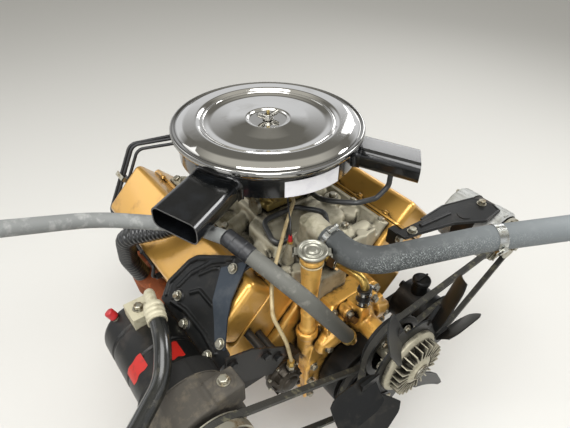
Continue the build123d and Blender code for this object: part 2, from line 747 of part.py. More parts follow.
# Exhaust manifolds: a cast log with four ports and a rear outlet. The
# passenger's one has a stub that gives warm air.
LOG_OUT = EXHAUST_FACE + 36.0
LOG_RADIUS = 25.0
LOG_FRONT_Y, LOG_REAR_Y = -498.0, -90.0
PORT_RADIUS = 19.0
PORT_FLANGE = (10.0, 74.0, 40.0)
OUTLET_RADIUS = 26.0
OUTLET_INWARD, OUTLET_BACK, OUTLET_LOW_Z = 26.0, 24.0, -60.0
DUCT_RADIUS = 21.0
DUCT_Y = -196.0
LOG_X, _, LOG_Z = bank_point(EXHAUST_PORT_HEIGHT, -LOG_OUT)
DUCT_END = (-LOG_X - 20.0, DUCT_Y, LOG_Z + 33.0)
DUCT_BEND = (-LOG_X - 42.0, DUCT_Y, LOG_Z + 95.0)
log_start = (LOG_OUT, LOG_FRONT_Y, EXHAUST_PORT_HEIGHT)
log_end = (LOG_OUT, LOG_REAR_Y, EXHAUST_PORT_HEIGHT)
log = rod(log_start, log_end, LOG_RADIUS)
for y in runner_y:
    port_face = (EXHAUST_FACE, y, EXHAUST_PORT_HEIGHT)
    log += rod(port_face, (LOG_OUT, y, EXHAUST_PORT_HEIGHT), PORT_RADIUS)
    log += Pos(*port_face) * Pos(PORT_FLANGE[0] / 2, 0, 0) * Box(*PORT_FLANGE)
manifolds = both_banks(log)
for side, name, shape in zip((1, -1), ("driver", "passenger"), manifolds):
    elbow_y = LOG_REAR_Y + (0.0 if side > 0 else PASSENGER_BANK_SHIFT)
    elbow_at = (side * LOG_X, elbow_y, LOG_Z)
    foot_at = (side * (LOG_X - OUTLET_INWARD), elbow_y + OUTLET_BACK, OUTLET_LOW_Z)
    shape += Pos(*elbow_at) * Sphere(OUTLET_RADIUS + 1.0)
    shape += rod(elbow_at, foot_at, OUTLET_RADIUS)
    if side < 0:
        stub_way = (Vector(*DUCT_END) - Vector(*DUCT_BEND)).normalized()
        stub_top = Vector(*DUCT_END) + stub_way * SEAT_GAP
        shape += rod(stub_top + stub_way * 36.0, stub_top, DUCT_RADIUS)
    write(f"exhaust_manifold_{name}", shape)

# Crankshaft ends, damper, three-groove pulley and the driven plate. They turn
# as one.
crank = along_y(0, 0, 1.0, -716.0, SHAFT_RADIUS)
crank += along_y(0, 0, 9.0, 1.0, 50.0)
write("crankshaft", crank)
damper = turned(
    [
        (SHAFT_RADIUS + 0.2, TIMING_FRONT_Y - 6.0),
        (86.0, TIMING_FRONT_Y - 6.0),
        (86.0, -655.0),
        (SHAFT_RADIUS + 0.2, -655.0),
    ]
)
write("crank_damper", damper)
pulley_points = [(SHAFT_RADIUS + 0.2, STEERING_BELT_Y + rim_half())]
for y in (STEERING_BELT_Y, COMPRESSOR_BELT_Y, ALTERNATOR_BELT_Y):
    pulley_points += groove(CRANK_PULLEY_RADIUS, y)
pulley_points.append((SHAFT_RADIUS + 0.2, ALTERNATOR_BELT_Y - rim_half()))
write("crank_pulley", turned(pulley_points))
ring_gear = turned([(20.0, 9.0), (178.0, 9.0), (178.0, 19.0), (166.0, 19.0), (166.0, 12.0), (20.0, 12.0)])
write("flexplate", ring_gear)

# Fan drive: pulley on the pump shaft, viscous clutch and the bladed fan.
hub_y = PUMP_NOSE_FRONT_Y - 2.0
pump_pulley = turned(
    [(0, hub_y), (PUMP_PULLEY_RADIUS - 14.0, hub_y)]
    + [(PUMP_PULLEY_RADIUS - 14.0, ALTERNATOR_BELT_Y + rim_half())]
    + groove(PUMP_PULLEY_RADIUS, ALTERNATOR_BELT_Y)
    + [(PUMP_PULLEY_RADIUS - 14.0, ALTERNATOR_BELT_Y - rim_half())]
    + [(PUMP_PULLEY_RADIUS - 14.0, hub_y - 4.0), (0, hub_y - 4.0)],
    0,
    PUMP_AXIS_Z,
)
write("pump_pulley", pump_pulley)
clutch = turned(
    [
        (0, hub_y - 4.0),
        (32.0, hub_y - 4.0),
        (32.0, -738.0),
        (66.0, -742.0),
        (72.0, -748.0),
        (72.0, -764.0),
        (60.0, -790.0),
        (0, -792.0),
    ],
    0,
    PUMP_AXIS_Z,
)
write("fan_clutch", clutch)
fan = turned(
    [(72.3, -752.0), (96.0, -752.0), (96.0, -756.0), (72.3, -756.0)], 0, PUMP_AXIS_Z
)
for i in range(FAN_BLADES):
    blade = Pos((90.0 + FAN_RADIUS) / 2, -765.0, 0) * Rot(38.0, 0, 0) * Box(
        FAN_RADIUS - 90.0, 3.0, 72.0
    )
    fan += Pos(0, 0, PUMP_AXIS_Z) * Rot(0, i * 360.0 / FAN_BLADES, 0) * blade
write("fan", fan)

# Alternator: ribbed case, with its rotor, pulley and cooling fan.
case_front_y = ALTERNATOR_BELT_Y + rim_half() + 16.0
case = along_y(ALTERNATOR_X, ALTERNATOR_Z, -548.0, case_front_y, ALTERNATOR_RADIUS)
case = fillet(case.edges(), 8.0)
write("alternator_case", case)
rotor = turned(
    [
        (0, case_front_y - 1.0),
        (58.0, case_front_y - 3.0),
        (58.0, case_front_y - 10.0),
        (24.0, case_front_y - 11.0),
        (24.0, ALTERNATOR_BELT_Y + rim_half()),
    ]
    + groove(ALTERNATOR_PULLEY_RADIUS, ALTERNATOR_BELT_Y)
    + [(0, ALTERNATOR_BELT_Y - rim_half())],
    ALTERNATOR_X,
    ALTERNATOR_Z,
)
write("alternator_pulley", rotor)

# Compressor: round shell, cast front bracket ring and a clutch pulley.
compressor = along_y(
    COMPRESSOR_X, COMPRESSOR_Z, COMPRESSOR_REAR_Y, COMPRESSOR_FRONT_Y, COMPRESSOR_RADIUS
)
compressor = fillet(compressor.edges(), 6.0)
write("compressor", compressor)
ring_front_y = COMPRESSOR_BELT_Y + rim_half() + 8.0
front_ring = along_y(
    COMPRESSOR_X, COMPRESSOR_Z, COMPRESSOR_FRONT_Y, ring_front_y, COMPRESSOR_RING_RADIUS
)
front_ring += slab(
    COMPRESSOR_X + 21.0,
    COMPRESSOR_X + 75.0,
    ring_front_y,
    ring_front_y + 46.0,
    COMPRESSOR_Z + 40.0,
    COMPRESSOR_Z + 86.0,
)
COMPRESSOR_NOSE_RADIUS = 22.0
nose_front_y = COMPRESSOR_BELT_Y - 6.0
front_ring += along_y(
    COMPRESSOR_X, COMPRESSOR_Z, ring_front_y, nose_front_y, COMPRESSOR_NOSE_RADIUS
)
write("compressor_bracket_front", front_ring)
hub_bore = COMPRESSOR_NOSE_RADIUS + SEAT_GAP
clutch_pulley = turned(
    [(hub_bore, COMPRESSOR_BELT_Y + rim_half())]
    + groove(COMPRESSOR_PULLEY_RADIUS, COMPRESSOR_BELT_Y)
    + [
        (COMPRESSOR_PULLEY_RADIUS, COMPRESSOR_BELT_Y - rim_half() - 12.0),
        (0, COMPRESSOR_BELT_Y - rim_half() - 12.0),
        (0, nose_front_y - 1.0),
        (hub_bore, nose_front_y - 1.0),
    ],
    COMPRESSOR_X,
    COMPRESSOR_Z,
)
write("compressor_pulley", clutch_pulley)

# Power steering pump: body, reservoir and pulley.
STEERING_FRONT_Y = STEERING_BELT_Y + rim_half() + 6.0
steering = along_y(STEERING_X, STEERING_Z, -570.0, STEERING_FRONT_Y, 56.0)
steering += slab(127.0, STEERING_X, -572.0, BLOCK_FRONT_Y, 4.0, 44.0)
steering += upright(STEERING_X, -610.0, STEERING_Z, STEERING_Z + 84.0, 20.0)
write("power_steering_pump", steering)
steering_pulley = turned(
    [(0, STEERING_BELT_Y + rim_half())]
    + groove(STEERING_PULLEY_RADIUS, STEERING_BELT_Y)
    + [(0, STEERING_BELT_Y - rim_half())],
    STEERING_X,
    STEERING_Z,
)
write("power_steering_pulley", steering_pulley)

# Belts: fixed loops that lie in the grooves of their pulleys.
crank_wheel = (0, 0, CRANK_PULLEY_RADIUS)
loops = (
    # name, plane, wheels in counterclockwise order
    (
        "belt_power_steering",
        STEERING_BELT_Y,
        [crank_wheel, (STEERING_X, STEERING_Z, STEERING_PULLEY_RADIUS)],
    ),
    (
        "belt_compressor",
        COMPRESSOR_BELT_Y,
        [crank_wheel, (COMPRESSOR_X, COMPRESSOR_Z, COMPRESSOR_PULLEY_RADIUS)],
    ),
    (
        "belt_alternator",
        ALTERNATOR_BELT_Y,
        [
            crank_wheel,
            (ALTERNATOR_X, ALTERNATOR_Z, ALTERNATOR_PULLEY_RADIUS),
            (0, PUMP_AXIS_Z, PUMP_PULLEY_RADIUS),
        ],
    ),
)
for name, y, wheels in loops:
    write(name, belt(wheels, y))

# Alternator brackets: a stamped strap on top and an arm below, both bolted to
# the front of the driver's head.
ALTERNATOR_BRACKET_Z = ALTERNATOR_Z + ALTERNATOR_RADIUS + SEAT_GAP
BRACKET_SHEET = 3.5
strap_outline = [
    # outboard of the head's edge, place along the engine
    (-29.0, -572.0),
    (55.0, -578.0),
    (135.0, -575.0),
    (221.0, -598.0),
    (239.0, -640.0),
    (231.0, -664.0),
    (170.0, -669.0),
    (103.0, -631.0),
    (10.0, -607.0),
    (-25.0, -600.0),
]
strap = extrude(
    Pos(HEAD_EDGE_X, 0, ALTERNATOR_BRACKET_Z)
    * make_face(Polyline(*strap_outline, close=True)),
    amount=BRACKET_SHEET,
)
slot_x, slot_y = HEAD_EDGE_X + 147.0, -624.0
strap -= upright(
    slot_x, slot_y, ALTERNATOR_BRACKET_Z - 10.0, ALTERNATOR_BRACKET_Z + 20.0, 9.0
)
leg_low_z = HEAD_EDGE_Z - 38.0
strap += slab(
    HEAD_EDGE_X - 25.0,
    HEAD_EDGE_X - 7.0,
    -576.0,
    HEAD_FRONT_Y,
    leg_low_z,
    ALTERNATOR_BRACKET_Z,
)
write("alternator_bracket", strap)
ARM_HALF_WIDTH = 18.0
arm_top = ALTERNATOR_Z - ALTERNATOR_RADIUS - SEAT_GAP
arm = slab(
    HEAD_EDGE_X + 51.0,
    ALTERNATOR_X + ARM_HALF_WIDTH,
    -566.0,
    HEAD_FRONT_Y,
    arm_top - 26.0,
    arm_top,
)
arm += slab(
    ALTERNATOR_X - ARM_HALF_WIDTH,
    ALTERNATOR_X + ARM_HALF_WIDTH,
    -640.0,
    -556.0,
    arm_top - 12.0,
    arm_top,
)
write("alternator_arm", arm)

# Compressor brackets: a ribbed stamping over the passenger's valve cover with
# a foot on the manifold, a flat brace that narrows towards the front, and a
# plate to the front of the head.
plate_low = COVER_TOP + 4.0
plate_high = plate_low + BRACKET_SHEET
arch_outline = [
    # distance outboard along the cover, place along the engine
    (82.0, -380.0),
    (67.0, -374.0),
    (36.0, -362.0),
    (-28.0, -377.0),
    (-47.0, -390.0),
    (-105.0, -478.0),
    (-113.0, -490.0),
    (-113.0, -522.0),
    (-84.0, -512.0),
    (-34.0, -518.0),
    (0.0, -541.0),
    (27.0, -572.0),
    (30.0, -596.0),
    (82.0, -596.0),
]
arch = extrude(
    Pos(0, 0, plate_low) * make_face(Polyline(*arch_outline, close=True)),
    amount=BRACKET_SHEET,
)
RIDGE_RADIUS = 4.0
ridge_ways = (
    # pressed ridges, from the compressor's side over to the leg
    ((60.0, -382.0), (36.0, -369.0), (-26.0, -384.0), (-44.0, -397.0), (-97.0, -475.0)),
    ((29.0, -397.0), (-13.0, -407.0), (-62.0, -436.0), (-84.0, -464.0)),
    ((-25.0, -428.0), (-51.0, -446.0), (-62.0, -458.0)),
)
for way in ridge_ways:
    for (x0, y0), (x1, y1) in zip(way, way[1:]):
        arch += rod((x0, y0, plate_high), (x1, y1, plate_high), RIDGE_RADIUS)
    for x, y in way:
        arch += Pos(x, y, plate_high) * Sphere(RIDGE_RADIUS)
leg_inboard = 113.0
foot_z = MANIFOLD_EDGE_Z + 8.0
leg_low = foot_z / cos(radians(BANK_LEAN)) - leg_inboard
arch += slab(
    -leg_inboard, 3.0 - leg_inboard, -522.0, -488.0, leg_low, plate_high
)
arch = Pos(0, -PASSENGER_BANK_SHIFT, 0) * both_banks(arch)[1]
foot_x = -foot_z + leg_inboard / cos(radians(BANK_LEAN)) - 12.0
arch += slab(foot_x, foot_x + 32.0, -510.0, -476.0, foot_z, foot_z + BRACKET_SHEET)
compressor_room = along_y(
    COMPRESSOR_X, COMPRESSOR_Z, -300.0, -700.0, COMPRESSOR_RADIUS + SEAT_GAP
)
ring_room = along_y(
    COMPRESSOR_X,
    COMPRESSOR_Z,
    COMPRESSOR_FRONT_Y + 1.0,
    -700.0,
    COMPRESSOR_RING_RADIUS + SEAT_GAP,
)
write("compressor_bracket_rear", arch - compressor_room - ring_room)
BRACE_THICKNESS = 3.0
brace_outline = [
    # distance outboard along the cover, place along the engine
    (-68.0, -466.0),
    (-13.0, -494.0),
    (10.0, -524.0),
    (44.0, -564.0),
    (32.0, -584.0),
    (-9.0, -549.0),
    (-40.0, -530.0),
    (-108.0, -512.0),
    (-111.0, -506.0),
]
brace = extrude(
    Pos(0, 0, plate_high + SEAT_GAP) * make_face(Polyline(*brace_outline, close=True)),
    amount=BRACE_THICKNESS,
)
brace = Pos(0, -PASSENGER_BANK_SHIFT, 0) * both_banks(brace)[1]
write("compressor_brace", brace)
PLATE_Y = TIMING_FRONT_Y - 4.0
plate_corners = [
    # height up the bank and distance inboard, on the head's side
    (HEAD_TOP + 33.0, -8.0),
    (DECK_HEIGHT + 38.0, 6.0),
    (DECK_HEIGHT + 12.0, -11.0),
    (DECK_HEIGHT + 14.0, -59.0),
]
plate_points = [passenger_point(up, inboard, 0.0) for up, inboard in plate_corners]
plate = profile_y(
    [(COMPRESSOR_X + 79.0, COMPRESSOR_Z + 68.0)]
    + [(x, z) for x, _, z in plate_points]
    + [(COMPRESSOR_X + 73.0, COMPRESSOR_Z - 10.0)],
    TIMING_FRONT_Y,
    PLATE_Y,
)
for up in (DECK_HEIGHT + 40.0, DECK_HEIGHT + 78.0):
    x, _, z = passenger_point(up, -15.0, 0.0)
    plate += along_y(x, z, HEAD_FRONT_Y + PASSENGER_BANK_SHIFT, PLATE_Y, 9.0)
write("compressor_bracket_side", plate - ring_room)

# Refrigerant fittings and hose.
REFRIGERANT_HOSE_RADIUS, REFRIGERANT_HOSE_BORE = 14.5, 8.0


def by_compressor(out, y, up):
    """A place from the compressor's shaft, inwards and up."""
    return Vector(COMPRESSOR_X + out, y, COMPRESSOR_Z + up)


fitting = slab(
    COMPRESSOR_X - 19.0,
    COMPRESSOR_X + 37.0,
    -452.0,
    -404.0,
    COMPRESSOR_Z + 40.0,
    COMPRESSOR_Z + 92.0,
)
fitting -= compressor_room
elbow_way = [
    by_compressor(25.0, -434.0, 90.0),
    by_compressor(23.0, -438.0, 133.0),
    by_compressor(15.0, -474.0, 131.0),
]
fitting += hose(elbow_way, [16.0], 10.0)
ferrule_end = by_compressor(7.0, -508.0, 128.0)
fitting += rod(elbow_way[2], ferrule_end, 16.5)
write("compressor_fitting", fitting)
hose_way = ferrule_end - elbow_way[2]
compressor_hose = hose(
    [
        ferrule_end,
        ferrule_end + hose_way * 1.1,
        by_compressor(-31.0, -596.0, 98.0),
        by_compressor(-103.0, -650.0, 96.0),
        by_compressor(-173.0, -690.0, 100.0),
    ],
    [120.0, 90.0, 200.0],
    REFRIGERANT_HOSE_RADIUS,
    REFRIGERANT_HOSE_BORE,
)
write("compressor_hose", compressor_hose)

# Engine mounts on the sides of the block: a plate and an arm with an upright
# eye, open below for the stud of a rubber mount.
MOUNT_Y = -280.0
MOUNT_PLATE = 8.0
MOUNT_PLATE_HALF = 50.0
MOUNT_EYE_X = 206.0
MOUNT_EYE_LOW_Z, MOUNT_EYE_HIGH_Z = -42.0, 18.0
MOUNT_EYE_RADIUS = 18.0
MOUNT_BOLT_RADIUS = 6.5
bracket = slab(
    CRANKCASE_HALF_WIDTH,
    CRANKCASE_HALF_WIDTH + MOUNT_PLATE,
    MOUNT_Y - MOUNT_PLATE_HALF,
    MOUNT_Y + MOUNT_PLATE_HALF,
    -40.0,
    40.0,
)
bracket += slab(
    CRANKCASE_HALF_WIDTH,
    MOUNT_EYE_X,
    MOUNT_Y - MOUNT_EYE_RADIUS,
    MOUNT_Y + MOUNT_EYE_RADIUS,
    MOUNT_EYE_LOW_Z + 12.0,
    MOUNT_EYE_HIGH_Z - 8.0,
)
bracket += upright(
    MOUNT_EYE_X, MOUNT_Y, MOUNT_EYE_LOW_Z, MOUNT_EYE_HIGH_Z, MOUNT_EYE_RADIUS
)
bracket -= upright(
    MOUNT_EYE_X, MOUNT_Y, MOUNT_EYE_LOW_Z - 5.0, MOUNT_EYE_HIGH_Z + 5.0, MOUNT_BOLT_RADIUS
)
write("engine_mount_driver", bracket)
write("engine_mount_passenger", mirror(bracket, about=Plane.YZ))

# Distributor at the back of the valley, with a ring of towers and one in the
# middle for the lead from the coil.
DISTRIBUTOR_Y = -46.0
distributor = upright_turned(
    [
        (0, VALLEY_Z),
        (24.0, VALLEY_Z),
        (24.0, 262.0),
        (44.0, 290.0),
        (46.0, 318.0),
        (42.0, 340.0),
        (0, 342.0),
    ],
    0,
    DISTRIBUTOR_Y,
)
TOWERS = 8
TOWER_CIRCLE_RADIUS = 30.0
TOWER_RADIUS = 6.0
TOWER_TOP_Z = 352.0
towers = []
for i in range(TOWERS):
    angle = 2 * pi * (i + 0.5) / TOWERS
    tower_x = TOWER_CIRCLE_RADIUS * cos(angle)
    tower_y = DISTRIBUTOR_Y + TOWER_CIRCLE_RADIUS * sin(angle)
    towers.append((tower_x, tower_y))
    distributor += upright(tower_x, tower_y, 330.0, TOWER_TOP_Z, TOWER_RADIUS)
distributor += upright(0, DISTRIBUTOR_Y, 340.0, TOWER_TOP_Z + 2.0, TOWER_RADIUS)
write("distributor", distributor)

# Ignition coil: a can on a band and a foot, bolted to a boss on the manifold.
COIL_RADIUS, COIL_BAND_RADIUS = 27.0, 29.0
COIL_X, COIL_FRONT_Y, COIL_REAR_Y = COIL_BOSS[0], -225.0, -112.0
COIL_Z = COIL_BOSS_TOP + SEAT_GAP + 5.0 + COIL_BAND_RADIUS
COIL_TOWER_Y = COIL_REAR_Y + 16.0
coil = along_y(COIL_X, COIL_Z, COIL_REAR_Y, COIL_FRONT_Y, COIL_RADIUS)
band_y = COIL_BOSS[1]
coil += along_y(COIL_X, COIL_Z, band_y + 10.0, band_y - 10.0, COIL_BAND_RADIUS)
coil += slab(
    COIL_X - 12.0,
    COIL_X + 12.0,
    band_y - 10.0,
    band_y + 10.0,
    COIL_BOSS_TOP + SEAT_GAP,
    COIL_Z - COIL_RADIUS,
)
coil += along_y(COIL_X, COIL_Z, COIL_TOWER_Y, COIL_REAR_Y, TOWER_RADIUS + 2.0)
write("ignition_coil", coil)

# Spark plug leads: four a side from the distributor's towers, down behind the
# head and forward beside the valve cover, each to a boot on its plug.
LEAD_RADIUS = 4.0
PLUG_BOOT_RADIUS, PLUG_BOOT_LENGTH = 7.5, 22.0
TOWER_BOOT_RADIUS, TOWER_BOOT_LENGTH = 7.0, 12.0
plug_face_low = (EXHAUST_FACE, EXHAUST_PORT_HEIGHT + 20.0)
plug_face_high = (HEAD_OUTBOARD, HEAD_TOP)
face_run = hypot(
    plug_face_low[0] - plug_face_high[0], plug_face_high[1] - plug_face_low[1]
)
plug_lean = (
    (plug_face_high[1] - plug_face_low[1]) / face_run,
    (plug_face_low[0] - plug_face_high[0]) / face_run,
)
plug_out = (plug_face_low[0] + plug_face_high[0]) / 2
plug_up = (plug_face_low[1] + plug_face_high[1]) / 2
cover_rear_y = COVER_FRONT_Y + COVER_LENGTH
lead_table = (
    # distance outboard, height over the head, place behind the cover, height of
    # the run across, driver's and passenger's tower, and plug from the rear
    (COVER_OUTBOARD + 17.0, 17.0, cover_rear_y + 54.0, 366.0, 1, 2, 0),
    (COVER_OUTBOARD + 17.0, 28.0, cover_rear_y + 45.0, 376.0, 0, 3, 1),
    (COVER_OUTBOARD + 6.0, 17.0, cover_rear_y + 27.0, 366.0, 6, 5, 2),
    (COVER_OUTBOARD + 6.0, 28.0, cover_rear_y + 36.0, 376.0, 7, 4, 3),
)


def lead(side, out, over, behind, across_z, tower, plug):
    """One lead from its tower to its plug, with a boot at each end."""

    def place(outboard, y, height):
        x, _, z = bank_point(height, -outboard)
        return (side * x, y, z)

    shift = PASSENGER_BANK_SHIFT if side < 0 else 0.0
    plug_y = runner_y[plug] - BORE_SPACING / 2 + shift
    tower_x, tower_y = towers[tower]
    lane_x, _, lane_z = place(out, 0, HEAD_TOP + over)

    def plug_place(away):
        return place(plug_out + plug_lean[0] * away, plug_y, plug_up + plug_lean[1] * away)

    start = (tower_x, tower_y, TOWER_TOP_Z + SEAT_GAP)
    wire = hose(
        [
            start,
            (tower_x, tower_y, across_z),
            (lane_x - side * (across_z - lane_z) / 2, behind, across_z),
            (lane_x, behind, lane_z),
            (lane_x, plug_y, lane_z),
            plug_place(PLUG_BOOT_LENGTH + 9.0),
            plug_place(8.0),
        ],
        [10.0, 25.0, 14.0, 10.0, 8.0],
        LEAD_RADIUS,
    )
    wire += rod(
        start, (tower_x, tower_y, start[2] + TOWER_BOOT_LENGTH - 4.0), TOWER_BOOT_RADIUS
    )
    wire += rod(plug_place(SEAT_GAP), plug_place(PLUG_BOOT_LENGTH), PLUG_BOOT_RADIUS)
    return wire


driver_leads = []
passenger_leads = []
for out, over, behind, across_z, driver_tower, passenger_tower, plug in lead_table:
    driver_leads.append(lead(1, out, over, behind, across_z, driver_tower, plug))
    passenger_leads.append(lead(-1, out, over, behind, across_z, passenger_tower, plug))
coil_lead_z = 392.0
coil_lead_y = COIL_TOWER_Y + 34.0
driver_leads.append(
    hose(
        [
            (0.0, DISTRIBUTOR_Y, TOWER_TOP_Z + 2.0 + SEAT_GAP),
            (0.0, DISTRIBUTOR_Y, coil_lead_z),
            (COIL_X, coil_lead_y, coil_lead_z),
            (COIL_X, coil_lead_y, COIL_Z),
            (COIL_X, COIL_TOWER_Y + SEAT_GAP, COIL_Z),
        ],
        [18.0, 20.0, 16.0],
        LEAD_RADIUS,
    )
)
write("spark_plug_wires_driver", Compound(children=driver_leads))
write("spark_plug_wires_passenger", Compound(children=passenger_leads))

# Vacuum hoses: one that loops in front of the carburettor down to the front of
# the manifold, and one from the driver's snorkel to the carburettor's base.
VACUUM_RADIUS = 6.0
NIPPLE_BORE, NIPPLE_GRIP = HOSE_NIPPLE + SEAT_GAP, 22.0


def small_hose(points, bends, bored_ends):
    """A small hose whose given ends slip over nipples."""
    tube = hose(points, bends, VACUUM_RADIUS)
    for end, inner in bored_ends:
        way = (Vector(*inner) - Vector(*end)).normalized()
        tube -= rod(Vector(*end) - way, Vector(*end) + way * NIPPLE_GRIP, NIPPLE_BORE)
    return tube


loop_points = [
    (2.0, -503.0, MANIFOLD_EDGE_Z + 2.0),
    (2.0, -503.0, 330.0),
    (36.0, -452.0, 334.0),
    (-10.0, -402.0, 338.0),
    (-92.0, -396.0, 332.0),
    (-108.0, -462.0, 318.0),
    (-68.0, -458.0, 312.0),
    (-14.0, -384.0, 312.0),
]
loop_hose = small_hose(
    loop_points,
    [12.0, 20.0, 30.0, 20.0, 16.0, 18.0],
    ((loop_points[0], loop_points[1]), (loop_points[-1], loop_points[-2])),
)
snorkel_points = [
    (172.0, -506.0, under_snorkel_z),
    (172.0, -506.0, 378.0),
    (146.0, -500.0, 352.0),
    (100.0, -486.0, 350.0),
    (62.0, -440.0, 344.0),
    (CARB_NIPPLE[0], -408.0, CARB_NIPPLE[2]),
    (CARB_NIPPLE[0], carb_front_y - 2.0, CARB_NIPPLE[2]),
]
snorkel_hose = small_hose(
    snorkel_points,
    [20.0, 20.0, 30.0, 40.0, 20.0],
    ((snorkel_points[-1], snorkel_points[-2]),),
)
write("vacuum_hoses", Compound(children=[loop_hose, snorkel_hose]))

# Starter motor, bolted to the front of the gearbox flange.
STARTER_X, STARTER_Z = -146.0, -130.0
starter = along_y(STARTER_X, STARTER_Z, -FLANGE_THICKNESS - 12.0, -236.0, 50.0)
starter += slab(
    STARTER_X - 32.0,
    STARTER_X + 32.0,
    -FLANGE_THICKNESS - 14.0,
    -FLANGE_THICKNESS,
    STARTER_Z - 20.0,
    -86.0,
)
write("starter", starter)

# Oil filter on its adaptor.
FILTER_X, FILTER_Z = -(CRANKCASE_HALF_WIDTH + 52.0), -30.0
oil_filter = slab(
    FILTER_X - 30.0, -CRANKCASE_HALF_WIDTH, -494.0, -478.0, FILTER_Z - 30.0, FILTER_Z + 30.0
)
oil_filter += along_y(FILTER_X, FILTER_Z, -478.0, -368.0, 46.0)
write("oil_filter", oil_filter)

# Warm air duct from the passenger's exhaust manifold up to the snorkel.
DUCT_TOP = (-225.0, -353.0)
duct = hose(
    [
        (*DUCT_TOP, under_snorkel_z),
        (*DUCT_TOP, under_snorkel_z - 43.0),
        passenger_point(COVER_TOP + 36.0, 45.0, -300.0),
        passenger_point(COVER_TOP + 64.0, -25.0, -240.0),
        DUCT_BEND,
        DUCT_END,
    ],
    [34.0, 40.0, 46.0, 50.0],
    DUCT_RADIUS,
)
write("warm_air_duct", duct)
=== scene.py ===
import math

import bmesh
import bpy
from mathutils import Matrix, Vector


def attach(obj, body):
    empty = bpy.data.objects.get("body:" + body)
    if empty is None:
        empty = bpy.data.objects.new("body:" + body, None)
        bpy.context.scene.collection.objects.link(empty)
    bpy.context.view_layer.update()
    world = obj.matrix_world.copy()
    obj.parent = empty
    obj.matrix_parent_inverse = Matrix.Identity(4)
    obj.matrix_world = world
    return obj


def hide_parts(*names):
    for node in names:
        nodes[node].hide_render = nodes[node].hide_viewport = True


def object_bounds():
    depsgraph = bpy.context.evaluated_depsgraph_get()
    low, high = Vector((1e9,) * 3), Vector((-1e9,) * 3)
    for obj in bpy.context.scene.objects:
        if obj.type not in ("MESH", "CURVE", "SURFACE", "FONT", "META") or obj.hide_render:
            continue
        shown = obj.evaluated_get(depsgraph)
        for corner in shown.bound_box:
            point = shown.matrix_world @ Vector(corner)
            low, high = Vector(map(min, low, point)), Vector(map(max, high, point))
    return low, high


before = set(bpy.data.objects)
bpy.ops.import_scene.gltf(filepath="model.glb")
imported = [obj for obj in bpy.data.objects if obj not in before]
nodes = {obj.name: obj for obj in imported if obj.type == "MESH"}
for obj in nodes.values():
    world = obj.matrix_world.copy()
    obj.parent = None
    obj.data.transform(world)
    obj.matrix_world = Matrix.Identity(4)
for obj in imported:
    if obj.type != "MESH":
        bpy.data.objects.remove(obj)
cad_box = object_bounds()


# Camera at the photograph's angle: in front of the engine on the passenger's
# side, looking down and to the rear. Angles are in degrees, and the lens is
# for a picture 36 mm wide.
CAMERA_HEADING = 38.0
CAMERA_TILT = 38.2
CAMERA_ROLL = 1.06
CAMERA_LENS = 30.0
CAMERA_PLACE = (-541.5, -1048.7, 975.3)


def mm(*place):
    """A place given in millimetres, in the scene's metres."""
    return Vector(place) / 1000


def turned_by(degrees, axis):
    """A turn in degrees about one of the scene's axes."""
    return Matrix.Rotation(math.radians(degrees), 4, axis)


def at(place, degrees=0.0, axis="Y"):
    """A move to a place in millimetres, with a turn there about an axis."""
    return Matrix.Translation(mm(*place)) @ turned_by(degrees, axis)


camera = bpy.data.objects.new("camera", bpy.data.cameras.new("camera"))
camera.data.lens = CAMERA_LENS
camera.data.clip_start = 0.02
camera.matrix_world = (at(CAMERA_PLACE, -CAMERA_HEADING, "Z") @ turned_by(90.0 - CAMERA_TILT, "X")
    @ turned_by(CAMERA_ROLL, "Z"))
bpy.context.scene.collection.objects.link(camera)
bpy.context.scene.camera = camera
bpy.context.scene.view_settings.view_transform = "Standard"


# Studio: a pale matt floor under the oil pan, a sky that is bright along the
# horizon and dark overhead, and six soft lamps. Those behind the engine are
# weak, for the enamel and the chrome to mirror.
FLOOR_SIZE = 14.0
FLOOR_GREY = "#CDCCC8"
SKY_LOW = "#E3E4E6"
SKY_MIDDLE = "#75736D"
SKY_TOP = "#C4C1B8"
# Heights in the sky, as shares, between which one tone turns into the next.
LOW_FADE = (0.36, 0.54)
HIGH_FADE = (0.64, 0.84)


def linear(hex_code):
    """The linear colour of an sRGB hex value."""
    parts = [int(hex_code[i : i + 2], 16) / 255 for i in (1, 3, 5)]
    flat = [c / 12.92 if c <= 0.04045 else ((c + 0.055) / 1.055) ** 2.4 for c in parts]
    return (*flat, 1.0)


def add(tree, kind, links=None, **settings):
    """One node with its settings.

    Links map an input to a socket, to a node's first output, to a hex colour
    or to a plain value.
    """
    made = tree.nodes.new("ShaderNode" + kind)
    for name, value in settings.items():
        setattr(made, name, value)
    for socket, value in (links or {}).items():
        if isinstance(value, bpy.types.Node):
            value = value.outputs[0]
        if isinstance(value, bpy.types.NodeSocket):
            tree.links.new(value, made.inputs[socket])
        else:
            made.inputs[socket].default_value = linear(value) if isinstance(value, str) else value
    return made


def ramp(tree, value, start, end, low=0.0, high=1.0):
    """A share that goes from low to high while a value goes from start to end."""
    links = {"Value": value, "From Min": start, "From Max": end, "To Min": low, "To Max": high}
    return add(tree, "MapRange", links)


def mix(tree, share, first, second):
    """The first colour, and by a share the second one."""
    return add(tree, "Mix", {0: share, 6: first, 7: second}, data_type="RGBA").outputs[2]


